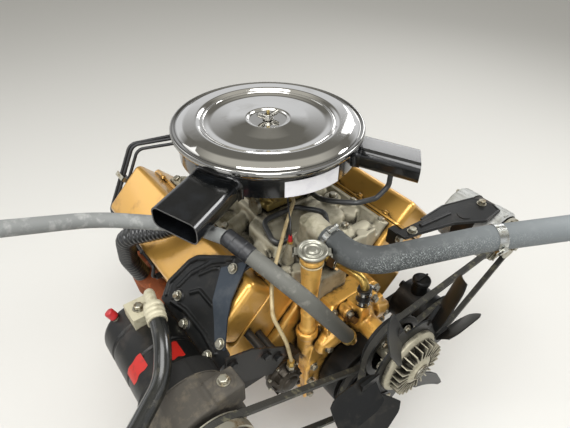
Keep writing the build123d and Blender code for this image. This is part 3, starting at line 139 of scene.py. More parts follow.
LAMPS = (
    # name, place in metres, width and height in metres, watts
    ("rear softbox", (2.45, 1.0, 1.65), (0.9, 0.8), 9),
    ("passenger rear softbox", (-1.43, 1.5, 1.6), (1.5, 1.6), 9.5),
    ("overhead softbox", (-0.7, -1.2, 2.9), (2.1, 2.1), 84),
    ("passenger side softbox", (-2.1, -0.5, 1.5), (0.7, 1.3), 20),
    ("driver side softbox", (1.9, -1.0, 1.7), (0.9, 0.9), 26),
    ("front softbox", (-1.5, -2.4, 1.2), (1.2, 1.0), 12),
)
ENGINE_MIDDLE = mm(0, -320, 300)
for name, place, size, watts in LAMPS:
    lamp = bpy.data.lights.new(name, "AREA")
    lamp.shape = "RECTANGLE"
    lamp.size, lamp.size_y = size
    lamp.energy = watts
    made = bpy.data.objects.new(name, lamp)
    made.location = place
    made.rotation_euler = (ENGINE_MIDDLE - Vector(place)).to_track_quat("-Z", "Y").to_euler()
    bpy.context.scene.collection.objects.link(made)

world = bpy.data.worlds.new("studio")
world.use_nodes = True
bpy.context.scene.world = world
sky = world.node_tree
height = add(sky, "SeparateXYZ", {"Vector": add(sky, "TexCoord").outputs["Generated"]}).outputs["Z"]
low_sky = mix(sky, ramp(sky, height, *LOW_FADE), SKY_LOW, SKY_MIDDLE)
whole_sky = mix(sky, ramp(sky, height, *HIGH_FADE), low_sky, SKY_TOP)
sky.links.new(whole_sky, sky.nodes["Background"].inputs["Color"])

floor_mesh = bpy.data.meshes.new("floor")
half = FLOOR_SIZE / 2
floor_z = cad_box[0].z - 0.001
floor_mesh.from_pydata([(-half, -half, floor_z), (half, -half, floor_z), (half, half, floor_z),
    (-half, half, floor_z)], [], [(0, 1, 2, 3)])
floor = bpy.data.objects.new("floor", floor_mesh)
floor_paint = bpy.data.materials.new("matt floor paint")
floor_paint.use_nodes = True
floor_shade = floor_paint.node_tree.nodes["Principled BSDF"]
floor_shade.inputs["Base Color"].default_value = linear(FLOOR_GREY)
floor_shade.inputs["Roughness"].default_value = 0.9
floor_mesh.materials.append(floor_paint)
bpy.context.scene.collection.objects.link(floor)


# Cylinder block and heads: grey iron castings, sprayed with metallic gold
# engine enamel after assembly. Sand-cast skin shows through the paint, and
# oily dirt with painted shade darkens the corners. Core plugs close the water
# jacket.
BANK_LEAN = 45.0
PASSENGER_SHIFT = 12.0
FIRST_BORE = -92.0
BORE_SPACING = 117.5
BLOCK_VOXEL = 0.005
HEAD_VOXEL = 0.004
bank = turned_by(BANK_LEAN, "Y")
mirrored = Matrix.Translation(mm(0, PASSENGER_SHIFT, 0)) @ Matrix.Diagonal((-1, 1, 1, 1))
passenger_bank = mirrored @ bank
bores = [FIRST_BORE - BORE_SPACING * i for i in range(4)]


def finish(name, tone, stain, grime_and_shade, patch=20, grain=1, depth=0.1, reach=12, cover=0.5, **shader):
    """A worn finish. Stain lies in soft patches, grime and painted shade in the corners.

    Patch, grain, depth and reach are sizes in millimetres: of the patches, of
    the skin's grain, of its relief, and how far grime and painted shade spread
    out of a corner.
    """
    made = bpy.data.materials.new(name)
    made.use_nodes = True
    tree = made.node_tree
    shade = tree.nodes["Principled BSDF"]
    for socket, value in shader.items():
        shade.inputs[socket.replace("_", " ")].default_value = value
    place = add(tree, "TexCoord").outputs["Object"]
    patches = add(tree, "TexNoise", {"Vector": place, "Scale": 1000 / patch, "Detail": 7.0,
        "Roughness": 0.62})
    spread = ramp(tree, patches, 0.68 - 0.36 * cover, 0.82 - 0.3 * cover)
    # Ambient occlusion darkens corners and hollows: painted shade, broken up by noise so that it also reads
    # as grime.
    corner = add(tree, "AmbientOcclusion", {"Distance": reach / 1000}, samples=6, only_local=False)
    broken = add(tree, "TexNoise", {"Vector": place, "Scale": 1000 / (patch * 0.35), "Detail": 5.0})
    open_part = add(tree, "Math", {0: corner.outputs["AO"], 1: broken}, operation="ADD")
    clean_and_unshaded = ramp(tree, open_part, 0.92, 1.28)
    colour = mix(tree, clean_and_unshaded, grime_and_shade, mix(tree, spread, tone, stain))
    tree.links.new(colour, shade.inputs["Base Color"])
    rough = shade.inputs["Roughness"].default_value
    gloss = ramp(tree, clean_and_unshaded, 0.0, 1.0, min(1.0, rough + 0.3), rough)
    tree.links.new(gloss.outputs[0], shade.inputs["Roughness"])
    skin = add(tree, "TexNoise", {"Vector": place, "Scale": 1000 / grain, "Detail": 3.0})
    relief = add(tree, "Bump", {"Height": skin, "Distance": depth / 1000})
    tree.links.new(relief.outputs[0], shade.inputs["Normal"])
    return made


def along(way):
    """The turn from upright to a way."""
    return Vector(way).to_track_quat("Z", "Y").to_matrix().to_4x4()


def put(turn, *place):
    """A place in millimetres, after a turn."""
    return turn @ mm(*place) * 1000


def rod_into(bm, start, end, radius, end_radius=None, sides=28):
    """A round bar or cone from one place to another, in millimetres."""
    start, end = mm(*start), mm(*end)
    way = end - start
    place = Matrix.Translation((start + end) / 2) @ along(way)
    bmesh.ops.create_cone(bm, cap_ends=True, segments=sides, radius1=radius / 1000,
        radius2=(radius if end_radius is None else end_radius) / 1000, depth=way.length, matrix=place)
    return bm


def box_into(bm, low, high, turn=Matrix.Identity(4)):
    """A block between two corners, in millimetres, turned into place."""
    low, high = mm(*low), mm(*high)
    place = turn @ Matrix.Translation((low + high) / 2) @ Matrix.Diagonal((*(high - low), 1))
    bmesh.ops.create_cube(bm, size=1, matrix=place)


def fit(name, bm, material, stands_for=(), sharp=32.0, body="engine"):
    """Makes a piece of what bm holds, and fixes it to a body of the frame."""
    bmesh.ops.recalc_face_normals(bm, faces=bm.faces)
    for edge in bm.edges:
        edge.smooth = len(edge.link_faces) == 2 and edge.calc_face_angle(0) < math.radians(sharp)
    for face in bm.faces:
        face.smooth = True
    mesh = bpy.data.meshes.new(name)
    bm.to_mesh(mesh)
    bm.free()
    mesh.materials.append(material)
    made = bpy.data.objects.new(name, mesh)
    bpy.context.scene.collection.objects.link(made)
    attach(made, body)
    if stands_for:
        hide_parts(*stands_for)
    return made


def melt(made, voxel, passes):
    """Melts a piece's overlapping blocks into one skin with soft corners."""
    skin = made.modifiers.new("skin", "REMESH")
    skin.mode = "VOXEL"
    skin.voxel_size = voxel
    skin.use_smooth_shade = True
    soft = made.modifiers.new("soft corners", "SMOOTH")
    soft.factor = 0.5
    soft.iterations = passes
    shown = made.evaluated_get(bpy.context.evaluated_depsgraph_get())
    mesh = bpy.data.meshes.new_from_object(shown)
    material = made.data.materials[0]
    made.modifiers.clear()
    made.data = mesh
    mesh.materials.clear()
    mesh.materials.append(material)
    mesh.polygons.foreach_set("material_index", [0] * len(mesh.polygons))
    mesh.polygons.foreach_set("use_smooth", [True] * len(mesh.polygons))


def cast(name, bm, node, material, voxel, passes=3):
    """A casting: the solid of a node and the bosses in bm, melted together."""
    bm.from_mesh(nodes[node].data)
    melt(fit(name, bm, material, [node]), voxel, passes)


def on_banks(draw):
    """What is drawn for an upright bank, on each side, with the side's name."""
    for side, place in (("driver", bank), ("passenger", passenger_bank)):
        bm = bmesh.new()
        draw(bm)
        bmesh.ops.transform(bm, matrix=place, verts=bm.verts)
        yield side, bm


# Gold enamel: metal flake in clear paint, so it is bright where it faces the
# light and turns brown at the sides, with a soft gloss.
gold_enamel = finish("metallic gold engine enamel", "#D3A24E", "#AC7F3C", "#2A1D10", patch=70,
    grain=1.4, depth=0.12, cover=0.35, Metallic=0.7, Roughness=0.33, Coat_Weight=0.6,
    Coat_Roughness=0.14)


def block_barrels(bm):
    """The barrels of the cylinders, which show in the block's side."""
    for y in bores:
        rod_into(bm, (24, y, 90), (24, y, 236), 57)


block = bmesh.new()
for side, part in on_banks(block_barrels):
    loose = bpy.data.meshes.new("barrels")
    part.to_mesh(loose)
    part.free()
    block.from_mesh(loose)
for side in (-1, 1):
    box_into(block, (side * 140 - 12, -520, -55), (side * 140 + 12, -24, -46))
    for y in (-90, -190, -370, -480):
        box_into(block, (side * 152 - 5, y - 5, -48), (side * 152 + 5, y + 5, 44))
cast("block_casting", block, "engine_block", gold_enamel, BLOCK_VOXEL)

core_plugs = bmesh.new()
for place in (passenger_bank, bank):
    for y in (bores[0], (bores[1] + bores[2]) / 2, bores[3]):
        rod_into(core_plugs, put(place, 72, y, 128), put(place, 83, y, 128), 21, 19)
fit("core_plugs", core_plugs, gold_enamel)


def head_bosses(bm):
    """Bosses at the ports and the ends, and ribs along the outer edge."""
    for y in bores:
        rod_into(bm, (84, y + 30, 262), (98, y + 30, 256), 13)
        box_into(bm, (60, y - 34, 262), (92, y + 34, 306))
    for y in (-546, -37):
        rod_into(bm, (-52, y - 3, 272), (-52, y + 3, 272), 24)
        rod_into(bm, (30, y - 3, 272), (30, y + 3, 272), 20)
    for y in range(-540, -40, 30):
        box_into(bm, (50, y - 2, 300), (62, y + 2, 329))


for side, part in on_banks(head_bosses):
    node = f"cylinder_head_{side}"
    cast(f"head_casting_{side}", part, node, gold_enamel, HEAD_VOXEL)


# Oil pan: deep-drawn sheet steel with a flat rail, held by small hexagon bolts
# and a drain plug. Painted with the block.
FRONT, REAR, UP, DOWN = (0, -1, 0), (0, 1, 0), (0, 0, 1), (0, 0, -1)


def paint(material, *names):
    """Gives solids that keep their shape a finish."""
    for name in names:
        nodes[name].data.materials.clear()
        nodes[name].data.materials.append(material)


def bolt_into(bm, place, way, across=13.0, height=8.0, washer=1.3):
    """A hexagon bolt head with its washer and a chamfered crown."""
    place, way = Vector(place), Vector(way).normalized()
    radius = across / math.sqrt(3)
    rod_into(bm, place - way * 0.5, place + way * 1.6, radius * washer)
    rod_into(bm, place + way * 1.6, place + way * height, radius, sides=6)
    rod_into(bm, place + way * height, place + way * (height + 1), radius, radius * 0.8, sides=6)


def bolts(name, material, rows, body="engine"):
    """A piece that is bolts alone, with a row of bolt_into's values for each."""
    bm = bmesh.new()
    for row in rows:
        bolt_into(bm, *row)
    fit(name, bm, material, body=body)


paint(gold_enamel, "oil_pan")
pan_bolts = [((side * 132, y, -60), DOWN, 11) for side in (-1, 1) for y in range(-500, -40, 57)]
pan_bolts += [((0, -130, -234), DOWN, 20, 0.4), ((70, -38, -200), REAR, 19)]
bolts("oil_pan_bolts", gold_enamel, pan_bolts)


# Valve covers: pressed sheet steel, domed, with a flat rail that is bolted
# down through small spreader plates. Painted gold with the engine.
COVER_LOW = (-88.0, -556.0, 329.0)
COVER_HIGH = (48.0, -42.0, 394.0)
COVER_ROUND = 15.0
COVER_RAIL = 8.0


def soft_box_into(bm, low, high, corner, top, steps=6):
    """A block with round upright corners and a round upper edge."""
    before = set(bm.verts)
    box_into(bm, low, high)
    mine = [v for v in bm.verts if v not in before]
    edges = dict.fromkeys(e for v in mine for e in v.link_edges)
    height = max(v.co.z for v in mine)
    upright = [e for e in edges if abs(e.verts[0].co.z - e.verts[1].co.z) > 1e-5]
    bmesh.ops.bevel(bm, geom=upright, offset=corner / 1000, segments=steps, affect="EDGES", profile=0.5)
    if top:
        rim = [e for e in bm.edges if e.verts[0] not in before
            and all(abs(v.co.z - height) < 1e-6 for v in e.verts)
            and len({f.normal.to_tuple(2) for f in e.link_faces}) > 1]
        bmesh.ops.bevel(bm, geom=rim, offset=top / 1000, segments=steps, affect="EDGES", profile=0.5)


def cover_shell(bm):
    """The domed pressing on its flat rail."""
    soft_box_into(bm, COVER_LOW, COVER_HIGH, COVER_ROUND, COVER_ROUND - 1)
    rail_low = (COVER_LOW[0] - COVER_RAIL, COVER_LOW[1] - 3, COVER_LOW[2])
    rail_high = (COVER_HIGH[0] + COVER_RAIL, COVER_HIGH[1] + 3, COVER_LOW[2] + 5)
    soft_box_into(bm, rail_low, rail_high, COVER_ROUND, 2, 3)


def cover_bolts(bm):
    """Bolts along both rails, each on a spreader plate."""
    for y in range(-510, -60, 84):
        for x, foot in ((COVER_LOW[0] - 1, -1), (COVER_HIGH[0] + 1, 1)):
            box_into(bm, (x - 5, y - 16, 333), (x + 6 * foot + 5, y + 16, 336))
            bolt_into(bm, (x + 2 * foot, y, 336), UP, 11, 6)


for (side, shell), (side, screws) in zip(on_banks(cover_shell), on_banks(cover_bolts)):
    fit(f"cover_shell_{side}", shell, gold_enamel, [f"valve_cover_{side}"], sharp=40)
    fit(f"cover_bolts_{side}", screws, gold_enamel)


# Intake manifold: a sand casting in aluminium, left bare. Years of heat, fuel
# and dust have turned it olive-grey. Machined pads carry the carburettor and
# the thermostat housing, and bolts hold it down on the heads.
MANIFOLD_VOXEL = 0.003
MANIFOLD_ROWS = (-520, -430, -330, -250, -150, -100)
THERMOSTAT_BOLTS = ((-72, -512), (-18, -488))
weathered_casting = finish("weathered cast aluminium", "#ADA793", "#827D68", "#1E1A13", patch=45,
    grain=1.1, depth=0.22, reach=20, Metallic=0.55, Roughness=0.52)

manifold = bmesh.new()
soft_box_into(manifold, (-112, -470, 262), (98, -352, 312), 26, 12)
soft_box_into(manifold, (-84, -400, 262), (84, -180, 318), 22, 10)
rod_into(manifold, (100, -407, 262), (100, -407, 322), 20)
rod_into(manifold, (66, -488, 255), (66, -488, 302), 15)
rod_into(manifold, (-74, -431, 240), (-106, -474, 296), 20, 14)
rod_into(manifold, (-45, -500, 262), (-45, -440, 300), 30, 20)
for y in MANIFOLD_ROWS:
    for side in (-1, 1):
        rod_into(manifold, (side * 132, y, 262), (side * 148, y, 302), 15, 12)
for x in (-96, 84):
    rod_into(manifold, (x, -526, 262), (x, -526, 300), 14)
box_into(manifold, (-118, -536, 262), (118, -528, 300))
soft_box_into(manifold, (-71, -566, 205), (10, -524, 281), 10, 8)
cast("manifold_casting", manifold, "intake_manifold", weathered_casting,
    MANIFOLD_VOXEL)

# Fasteners of the manifold and of what stands on it: plated steel, dulled and
# stained brown.
dull_steel = finish("dulled zinc plated steel", "#A9A698", "#7D6A4C", "#2A2118", patch=12, grain=0.6,
    depth=0.08, reach=4, Metallic=0.9, Roughness=0.38)
manifold_bolts = [((side * 146, y, 300), (side * 0.35, 0, 1), 14) for y in MANIFOLD_ROWS
    for side in (-1, 1)]
manifold_bolts += [((66, -488, 302), UP, 14), ((100, -407, 322), UP, 15, 9)]
manifold_bolts += [((x, y, 331), UP, 13, 7) for x, y in THERMOSTAT_BOLTS]
bolts("manifold_bolts", dull_steel, manifold_bolts)


# Carburettor: a zinc casting with a yellow chromate look, with its levers,
# links, choke pull-off and fuel inlet nut, all mostly under the air cleaner.
chromate = finish("chromated zinc casting", "#9C8A55", "#6E6248", "#1B1710", grain=0.8, Metallic=0.75,
    Roughness=0.42)
carb = bmesh.new()
for side in (-1, 1):
    rod_into(carb, (side * 50, -350, 340), (side * 74, -350, 340), 11)
    rod_into(carb, (side * 40, -250, 380), (side * 66, -250, 380), 9)
soft_box_into(carb, (-50, -384, 352), (6, -366, 390), 8, 4)
rod_into(carb, (-22, -370, 372), (-22, -381, 372), 13)
rod_into(carb, (40, -366, 362), (40, -388, 362), 16)
cast("carburettor_body", carb, "carburettor", chromate, voxel=0.0025, passes=2)
links = bmesh.new()
rod_into(links, (-70, -352, 340), (-78, -352, 372), 5)
rod_into(links, (-80, -352, 372), (-66, -250, 382), 2.2, sides=10)
rod_into(links, (-84, -350, 340), (-76, -350, 340), 20)
rod_into(links, (74, -350, 340), (80, -350, 340), 24)
rod_into(links, (78, -350, 360), (78, -248, 384), 2.2, sides=10)
rod_into(links, (-22, -380, 372), (-22, -384, 372), 11, sides=6)
fit("carburettor_links", links, dull_steel)


# Air cleaner base: a pressed steel pan with two snorkels of folded sheet,
# spot welded on, in gloss black enamel. A rolled bead runs round its rim, and
# each snorkel meets the pan in a raised collar.
CLEANER_PLACE = (0.0, -290.0, 0.0)
SNORKELS = (
    # turn about the cleaner's middle, low and high edge across
    (62.0, -71.0, 36.0),
    (-25.0, 25.0, 103.0),
)
SNORKEL_FOOT, SNORKEL_TOP, SNORKEL_ROUND = 428.0, 469.0, 16.0
PAN_WALL = 196.2
black_enamel = finish("gloss black enamel", "#0B0C0D", "#15171A", "#1A1815", patch=50, grain=4,
    depth=0.03, reach=6, Roughness=0.2, Specular_IOR_Level=0.45, Coat_Weight=0.55, Coat_Roughness=0.09)
paint(black_enamel, "air_cleaner_base")


def lathe_into(bm, profile, place=(0, 0, 0), turn=Matrix.Identity(4), steps=96):
    """Turns a profile of (radius, height) places, in millimetres, about Z."""
    where = Matrix.Translation(mm(*place)) @ turn
    rings = []
    for radius, height in profile:
        if radius < 1e-6:
            rings.append([bm.verts.new(where @ mm(0, 0, height))])
            continue
        ring = []
        for i in range(steps):
            angle = 2 * math.pi * i / steps
            spot = mm(radius * math.cos(angle), radius * math.sin(angle), height)
            ring.append(bm.verts.new(where @ spot))
        rings.append(ring)
    for low, high in zip(rings, rings[1:]):
        for i in range(steps):
            j = (i + 1) % steps
            corners = [low[i % len(low)], low[j % len(low)], high[j % len(high)], high[i % len(high)]]
            unique = list(dict.fromkeys(corners))
            if len(unique) > 2:
                bm.faces.new(unique)
    return bm


def eased(points, radius, steps=5):
    """A profile whose inner corners are rounded, each by up to a radius."""
    out = [Vector(points[0])]
    for i in range(1, len(points) - 1):
        before, corner, after = (Vector(points[j]) for j in (i - 1, i, i + 1))
        room = min((before - corner).length, (after - corner).length) * 0.45
        reach = min(radius, room)
        start = corner + (before - corner).normalized() * reach
        end = corner + (after - corner).normalized() * reach
        for k in range(steps + 1):
            t = k / steps
            out.append(start * (1 - t) ** 2 + corner * 2 * t * (1 - t) + end * t**2)
    out.append(Vector(points[-1]))
    return out


def round_wire(radius, sides):
    """The closed section of a round wire."""
    angles = [2 * math.pi * i / sides for i in range(sides + 1)]
    return [(radius * math.cos(a), radius * math.sin(a)) for a in angles]


bead_ring = [(196 + x, 478 + y) for x, y in round_wire(3.2, 14)]
bead = lathe_into(bmesh.new(), bead_ring, CLEANER_PLACE, steps=128)
fit("cleaner_bead", bead, black_enamel, sharp=60)
collars = bmesh.new()
COLLAR_FLARE = (
    # how far off the snorkel's skin, and how far out from the pan's wall
    (0.225, 13.0),
    (0.9, 9.0),
    (1.5, 4.5),
    (2.55, 1.8),
    (4.5, 0.9),
    (6.0, 0.3),
    (6.0, -1.0),
)
for turn, low, high in SNORKELS:
    place = at(CLEANER_PLACE, -turn, "Z")
    skin = [(low, SNORKEL_FOOT, 180.0)]
    for x, first in ((low + SNORKEL_ROUND, 180.0), (high - SNORKEL_ROUND, 90.0)):
        for k in range(9):
            skin.append((x, SNORKEL_TOP - SNORKEL_ROUND, first - 90.0 * k / 8))
    skin.append((high, SNORKEL_FOOT, 0.0))
    rows = []
    for x, z, angle in skin:
        out = Vector((math.cos(math.radians(angle)), math.sin(math.radians(angle))))
        foot = Vector((x, z)) + out * (0 if z == SNORKEL_FOOT else SNORKEL_ROUND)
        row = []
        for off, reach in COLLAR_FLARE:
            spot = foot + out * off
            wall = math.sqrt(PAN_WALL**2 - spot.x**2)
            row.append(collars.verts.new(place @ mm(spot.x, -wall - reach, spot.y)))
        rows.append(row)
    for a, b in zip(rows, rows[1:]):
        for i in range(len(COLLAR_FLARE) - 1):
            collars.faces.new((a[i], a[i + 1], b[i + 1], b[i]))
fit("snorkel_collars", collars, black_enamel, sharp=60)


# Air cleaner lid: pressed steel, chrome plated and bright. Its top has a
# rolled rim, a raised ring, a shallow dish and a round well for the nut.
LID_RADIUS = 210.0
LID_TOP = 500.0
LID_PROFILE = [
    # share of the radius, height over the rim's top
    (0.990, -12.0),
    (1.000, -11.0),
    (1.000, -5.0),
    (0.992, -0.8),
    (0.975, 0.0),
    (0.958, -1.6),
    (0.945, -2.2),
    (0.925, 0.5),
    (0.870, 6.0),
    (0.850, 6.6),
    (0.742, 8.0),
    (0.725, 7.4),
    (0.700, 3.0),
    (0.688, 2.4),
    (0.681, 3.9),
    (0.669, 3.9),
    (0.661, 2.0),
    (0.640, 1.2),
    (0.600, -1.0),
    (0.420, 1.2),
    (0.250, 6.0),
    (0.232, 6.6),
    (0.212, 5.6),
    (0.205, 2.6),
    (0.190, 2.0),
    (0.021, 2.0),
]


def tint(material, share, tone):
    """Lays one more tone over a finish, by a share."""
    tree = material.node_tree
    skin = tree.nodes["Principled BSDF"].inputs["Base Color"]
    tree.links.new(mix(tree, share, skin.links[0].from_socket, tone), skin)


chrome = finish("bright chrome plate", "#DAD9D6", "#C9C7C2", "#6B6459", patch=60, grain=20, depth=0.02,
    reach=4, cover=0.3, Metallic=1.0, Roughness=0.05)
# The rolled rim is duller than the top, with the haze of its polishing.
DULL_FROM, DULL_TO = 0.1945, 0.198
lid_tree = chrome.node_tree
lid_place = add(lid_tree, "TexCoord").outputs["Object"]
lid_flat = add(lid_tree, "VectorMath", {0: lid_place, 1: (1.0, 1.0, 0.0)}, operation="MULTIPLY")
lid_links = {0: lid_flat, 1: mm(*CLEANER_PLACE)}
lid_reach = add(lid_tree, "VectorMath", lid_links, operation="DISTANCE").outputs["Value"]
tint(chrome, ramp(lid_tree, lid_reach, DULL_FROM, DULL_TO, high=0.85), "#8C8B88")
lid = bmesh.new()
lid_outline = [(share * LID_RADIUS, LID_TOP + rise) for share, rise in LID_PROFILE]
lid_skin = eased(lid_outline, 6.0)
under = [Vector((max(4.4, x - 1.0), y - 2.4)) for x, y in reversed(lid_outline)]
lathe_into(lid, lid_skin + under + [lid_skin[0]], CLEANER_PLACE, steps=192)
bmesh.ops.remove_doubles(lid, verts=lid.verts, dist=1e-6)
fit("lid_pressing", lid, chrome, ["air_cleaner_lid"], sharp=70)

# Wing nut: a plated zinc casting, gone smoky. It holds the lid down on the
# carburettor's stud.
wing = lathe_into(bmesh.new(), eased([(0, 502.2), (12, 502.2), (11, 508), (8, 515), (0, 516)], 2),
    CLEANER_PLACE, steps=32)
for side in (-1, 1):
    rod_into(wing, (side * 6, -290, 508), (side * 15, -290 - side * 3, 514), 4.5, 5.5)
    rod_into(wing, (side * 15, -290 - side * 3, 513), (side * 24, -290 - side * 5, 518), 5.5, 4.5)
smoky_zinc = finish("smoky plated zinc", "#8B8983", "#6E6B64", "#35312A", patch=6, grain=0.8,
    depth=0.04, reach=4, Metallic=1.0, Roughness=0.24)
nut_piece = fit("wing_nut_casting", wing, smoky_zinc, ["wing_nut"])
melt(nut_piece, voxel=0.0007, passes=3)

# A blank paper label, glued round the wall of the pan under the lid.
LABEL_FROM, LABEL_TO = -116.5, -80.0
LABEL_LOW, LABEL_HIGH, PAPER = 434.0, 470.0, 0.4
LABEL_STEPS = 24
label_paper = finish("white label paper", "#E9E8EA", "#DEDDE1", "#B5B1A8", patch=30, grain=2,
    depth=0.01, reach=2, Roughness=0.45)


def strip_into(bm, rows):
    """A bent strip of sheet, with a row of its four corners at each step."""
    rows = [[bm.verts.new(corner) for corner in row] for row in rows]
    for a, b in zip(rows, rows[1:]):
        for i, j in ((0, 1), (1, 3), (3, 2), (2, 0)):
            bm.faces.new((a[i], a[j], b[j], b[i]))
    for end in (rows[0], rows[-1]):
        bm.faces.new((end[0], end[1], end[3], end[2]))


label = bmesh.new()
label_rows = []
for i in range(LABEL_STEPS + 1):
    angle = math.radians(LABEL_FROM + (LABEL_TO - LABEL_FROM) * i / LABEL_STEPS)
    row = []
    for z in (LABEL_LOW, LABEL_HIGH):
        for radius in (PAN_WALL, PAN_WALL + PAPER):
            row.append(mm(radius * math.cos(angle), CLEANER_PLACE[1] + radius * math.sin(angle), z))
    label_rows.append(row)
strip_into(label, label_rows)
fit("cleaner_label", label, label_paper)


# Timing cover: an iron casting on the front of the block, with bolt bosses
# round its edge and a collar for the filler tube. Its gold enamel is oily.
oily_gold = finish("oily gold enamel", "#DDA950", "#94672C", "#1C130A", patch=30, grain=1.6, depth=0.3,
    reach=20, cover=0.4, Metallic=0.6, Roughness=0.3, Coat_Weight=0.5, Coat_Roughness=0.15)
TIMING_BOLTS = ((-112, -38), (112, -38), (-114, 16), (114, 16), (-106, 62), (104, 66), (62, 208),
    (-62, 208))
timing = bmesh.new()
for x, z in TIMING_BOLTS:
    rod_into(timing, (x, -552, z), (x, -604, z), 11)
rod_into(timing, (0, -590, 0), (0, -600.8, 0), 64, 56)
rod_into(timing, (-105, -574, 148), (-105, -574, 164), 25)
for side in (-1, 1):
    box_into(timing, (side * 120 - 6, -604, -50), (side * 120 + 3, -596, 60))
cast("timing_cover_casting", timing, "timing_cover", oily_gold, voxel=0.003)
bolts("timing_cover_bolts", dull_steel, [((x, -604, z), FRONT, 13, 7) for x, z in TIMING_BOLTS])


# Oil filler tube: drawn steel, painted with the engine, with a rolled bead
# under its mouth. The twist-off cap is plated steel, pressed in rings.
FILLER = (-105.0, -574.0, 0.0)
tube = lathe_into(bmesh.new(), eased([(0, 160), (17.5, 160), (17.5, 172), (14.6, 176), (15.2, 210),
    (16.6, 212), (16.6, 218), (15.4, 220), (16.2, 262), (20.5, 335), (20.5, 359), (23, 362), (23, 368),
    (20.5, 371), (20.5, 374), (0, 374)], 3), FILLER, steps=64)
tube_gold = finish("worn gold enamel on the filler tube", "#E3B25C", "#B98A42", "#3A2712", patch=25,
    grain=1.2, cover=0.4, Metallic=0.35, Roughness=0.36)
fit("filler_tube", tube, tube_gold, ["oil_filler_tube"], sharp=50)
plated_cap = finish("dulled plated steel cap", "#A9A89C", "#8A877D", "#3A352B", patch=12, grain=0.8,
    depth=0.06, reach=4, Metallic=0.85, Roughness=0.36)
cap = lathe_into(bmesh.new(), eased([(0, 373.6), (23, 373.6), (25.4, 379), (29.4, 383.6), (29.8, 386.4),
    (27.6, 389.6), (24, 389), (21.5, 385.6), (18.5, 385.4), (17.2, 388), (14.8, 388), (13.4, 386),
    (9.5, 386), (8, 388.6), (0, 388.8)], 1.6), FILLER, steps=72)
for turn in (-38, 142):
    where = at(FILLER, turn, "Z")
    box_into(cap, (25, -8, 381.5), (37, 8, 385.5), where)
    box_into(cap, (34.5, -8, 376), (37, 8, 385.5), where)
fit("filler_cap", cap, plated_cap, ["oil_filler_cap"], sharp=34)
seal_ring = [(20.4, 355), (22.6, 355), (23.4, 357), (22.6, 359), (20.4, 359), (20.4, 355)]
seal = lathe_into(bmesh.new(), seal_ring, FILLER, steps=56)
cork = finish("pressed cork", "#CDBB94", "#A38D63", "#3A2D1B", patch=6, grain=0.8, depth=0.08, reach=2,
    Roughness=0.8)
fit("filler_seal", seal, cork, sharp=60)


# Water pump: an iron casting with two legs and a bearing nose, bolted to the
# timing cover. It carries stubs for the heater hose and the bypass.
PUMP_AXIS = 172.0
pump = bmesh.new()
for side in (-1, 1):
    rod_into(pump, (side * 84, -600, 130), (side * 84, -622, 130), 20)
    rod_into(pump, (side * 40, -612, 160), (side * 84, -606, 132), 26, 22)
    rod_into(pump, (side * 36, -600, 208), (side * 36, -624, 208), 13)
rod_into(pump, (0, -610, PUMP_AXIS), (0, -632, PUMP_AXIS), 46, 34)
rod_into(pump, (-10, -632, 190), (-10, -632, 232), 15, 12)
cast("water_pump_casting", pump, "water_pump", oily_gold, voxel=0.0025)
PUMP_BOLTS = ((84, -622, 130, 14), (36, -624, 208, 13))
pump_bolts = [((side * x, y, z), FRONT, across) for side in (-1, 1) for x, y, z, across in PUMP_BOLTS]
bolts("water_pump_bolts", dull_steel, pump_bolts)


# Thermostat housing: a cast aluminium elbow on the manifold's crossover. Its
# neck goes into the radiator hose.
housing = bmesh.new()
for x, y in THERMOSTAT_BOLTS:
    rod_into(housing, (x, y, 322), (x, y, 332), 15)
rod_into(housing, (-45, -500, 326), (-45, -504, 376), 30, 25)
rod_into(housing, (-45, -500, 372), (-45, -546, 370), 25, 23)
cast("thermostat_elbow", housing, "thermostat_housing", weathered_casting,
    voxel=0.0025)


# Worm-drive clamps on the hoses: thin stainless bands, each with a screw in a
# small housing. The lower heater hose has a yellow plated one.
BAND_SHEET = 0.9


def band_into(bm, place, way, radius, width, screw):
    """A clamp's band, and its screw at an angle in degrees round the hose."""
    turn = along(way) @ turned_by(screw, "Z")
    half = width / 2
    outer = radius + BAND_SHEET
    ring = [(radius, -half), (outer, -half), (outer, half), (radius, half), (radius, -half)]
    lathe_into(bm, ring, place, turn, 56)
    where = at(place) @ turn
    box_into(bm, (radius, -8, -half - 0.6), (radius + 5.2, 7, half + 0.6), where)
    head, start, end = (put(where, radius + 4, y, 0) for y in (-16, -12, 8))
    rod_into(bm, start, end, 4.2)
    rod_into(bm, head, start, 4.6, sides=6)


band_steel = finish("stainless band", "#C9CBC8", "#A8A497", "#4A443A", patch=10, grain=0.6, depth=0.03,
    reach=2, Metallic=1.0, Roughness=0.26)
zinc_yellow = finish("yellow zinc plate", "#C9A95F", "#9A7F45", "#3B2E18", patch=8, grain=0.6,
    depth=0.05, reach=3, Metallic=0.9, Roughness=0.33)
bands = bmesh.new()
band_into(bands, (218, -748.8, 373.1), (214, -113, 8), 26.3, 19, 208)
band_into(bands, (-45, -562, 370), FRONT, 26.3, 13, 100)
fit("radiator_hose_clamps", bands, band_steel, sharp=30)
bypass_bands = bmesh.new()
band_into(bypass_bands, (-10, -632, 266), UP, 14.3, 9, 200)
band_into(bypass_bands, (-10, -632, 240), UP, 14.3, 9, 215)
fit("bypass_hose_clamps", bypass_bands, band_steel, sharp=30)
yellow_bands = bmesh.new()
band_into(yellow_bands, (-56, -645.4, 171.4), (-118, 18, 187), 16.4, 10, 200)
fit("yellow_hose_clamps", yellow_bands, zinc_yellow, sharp=30)


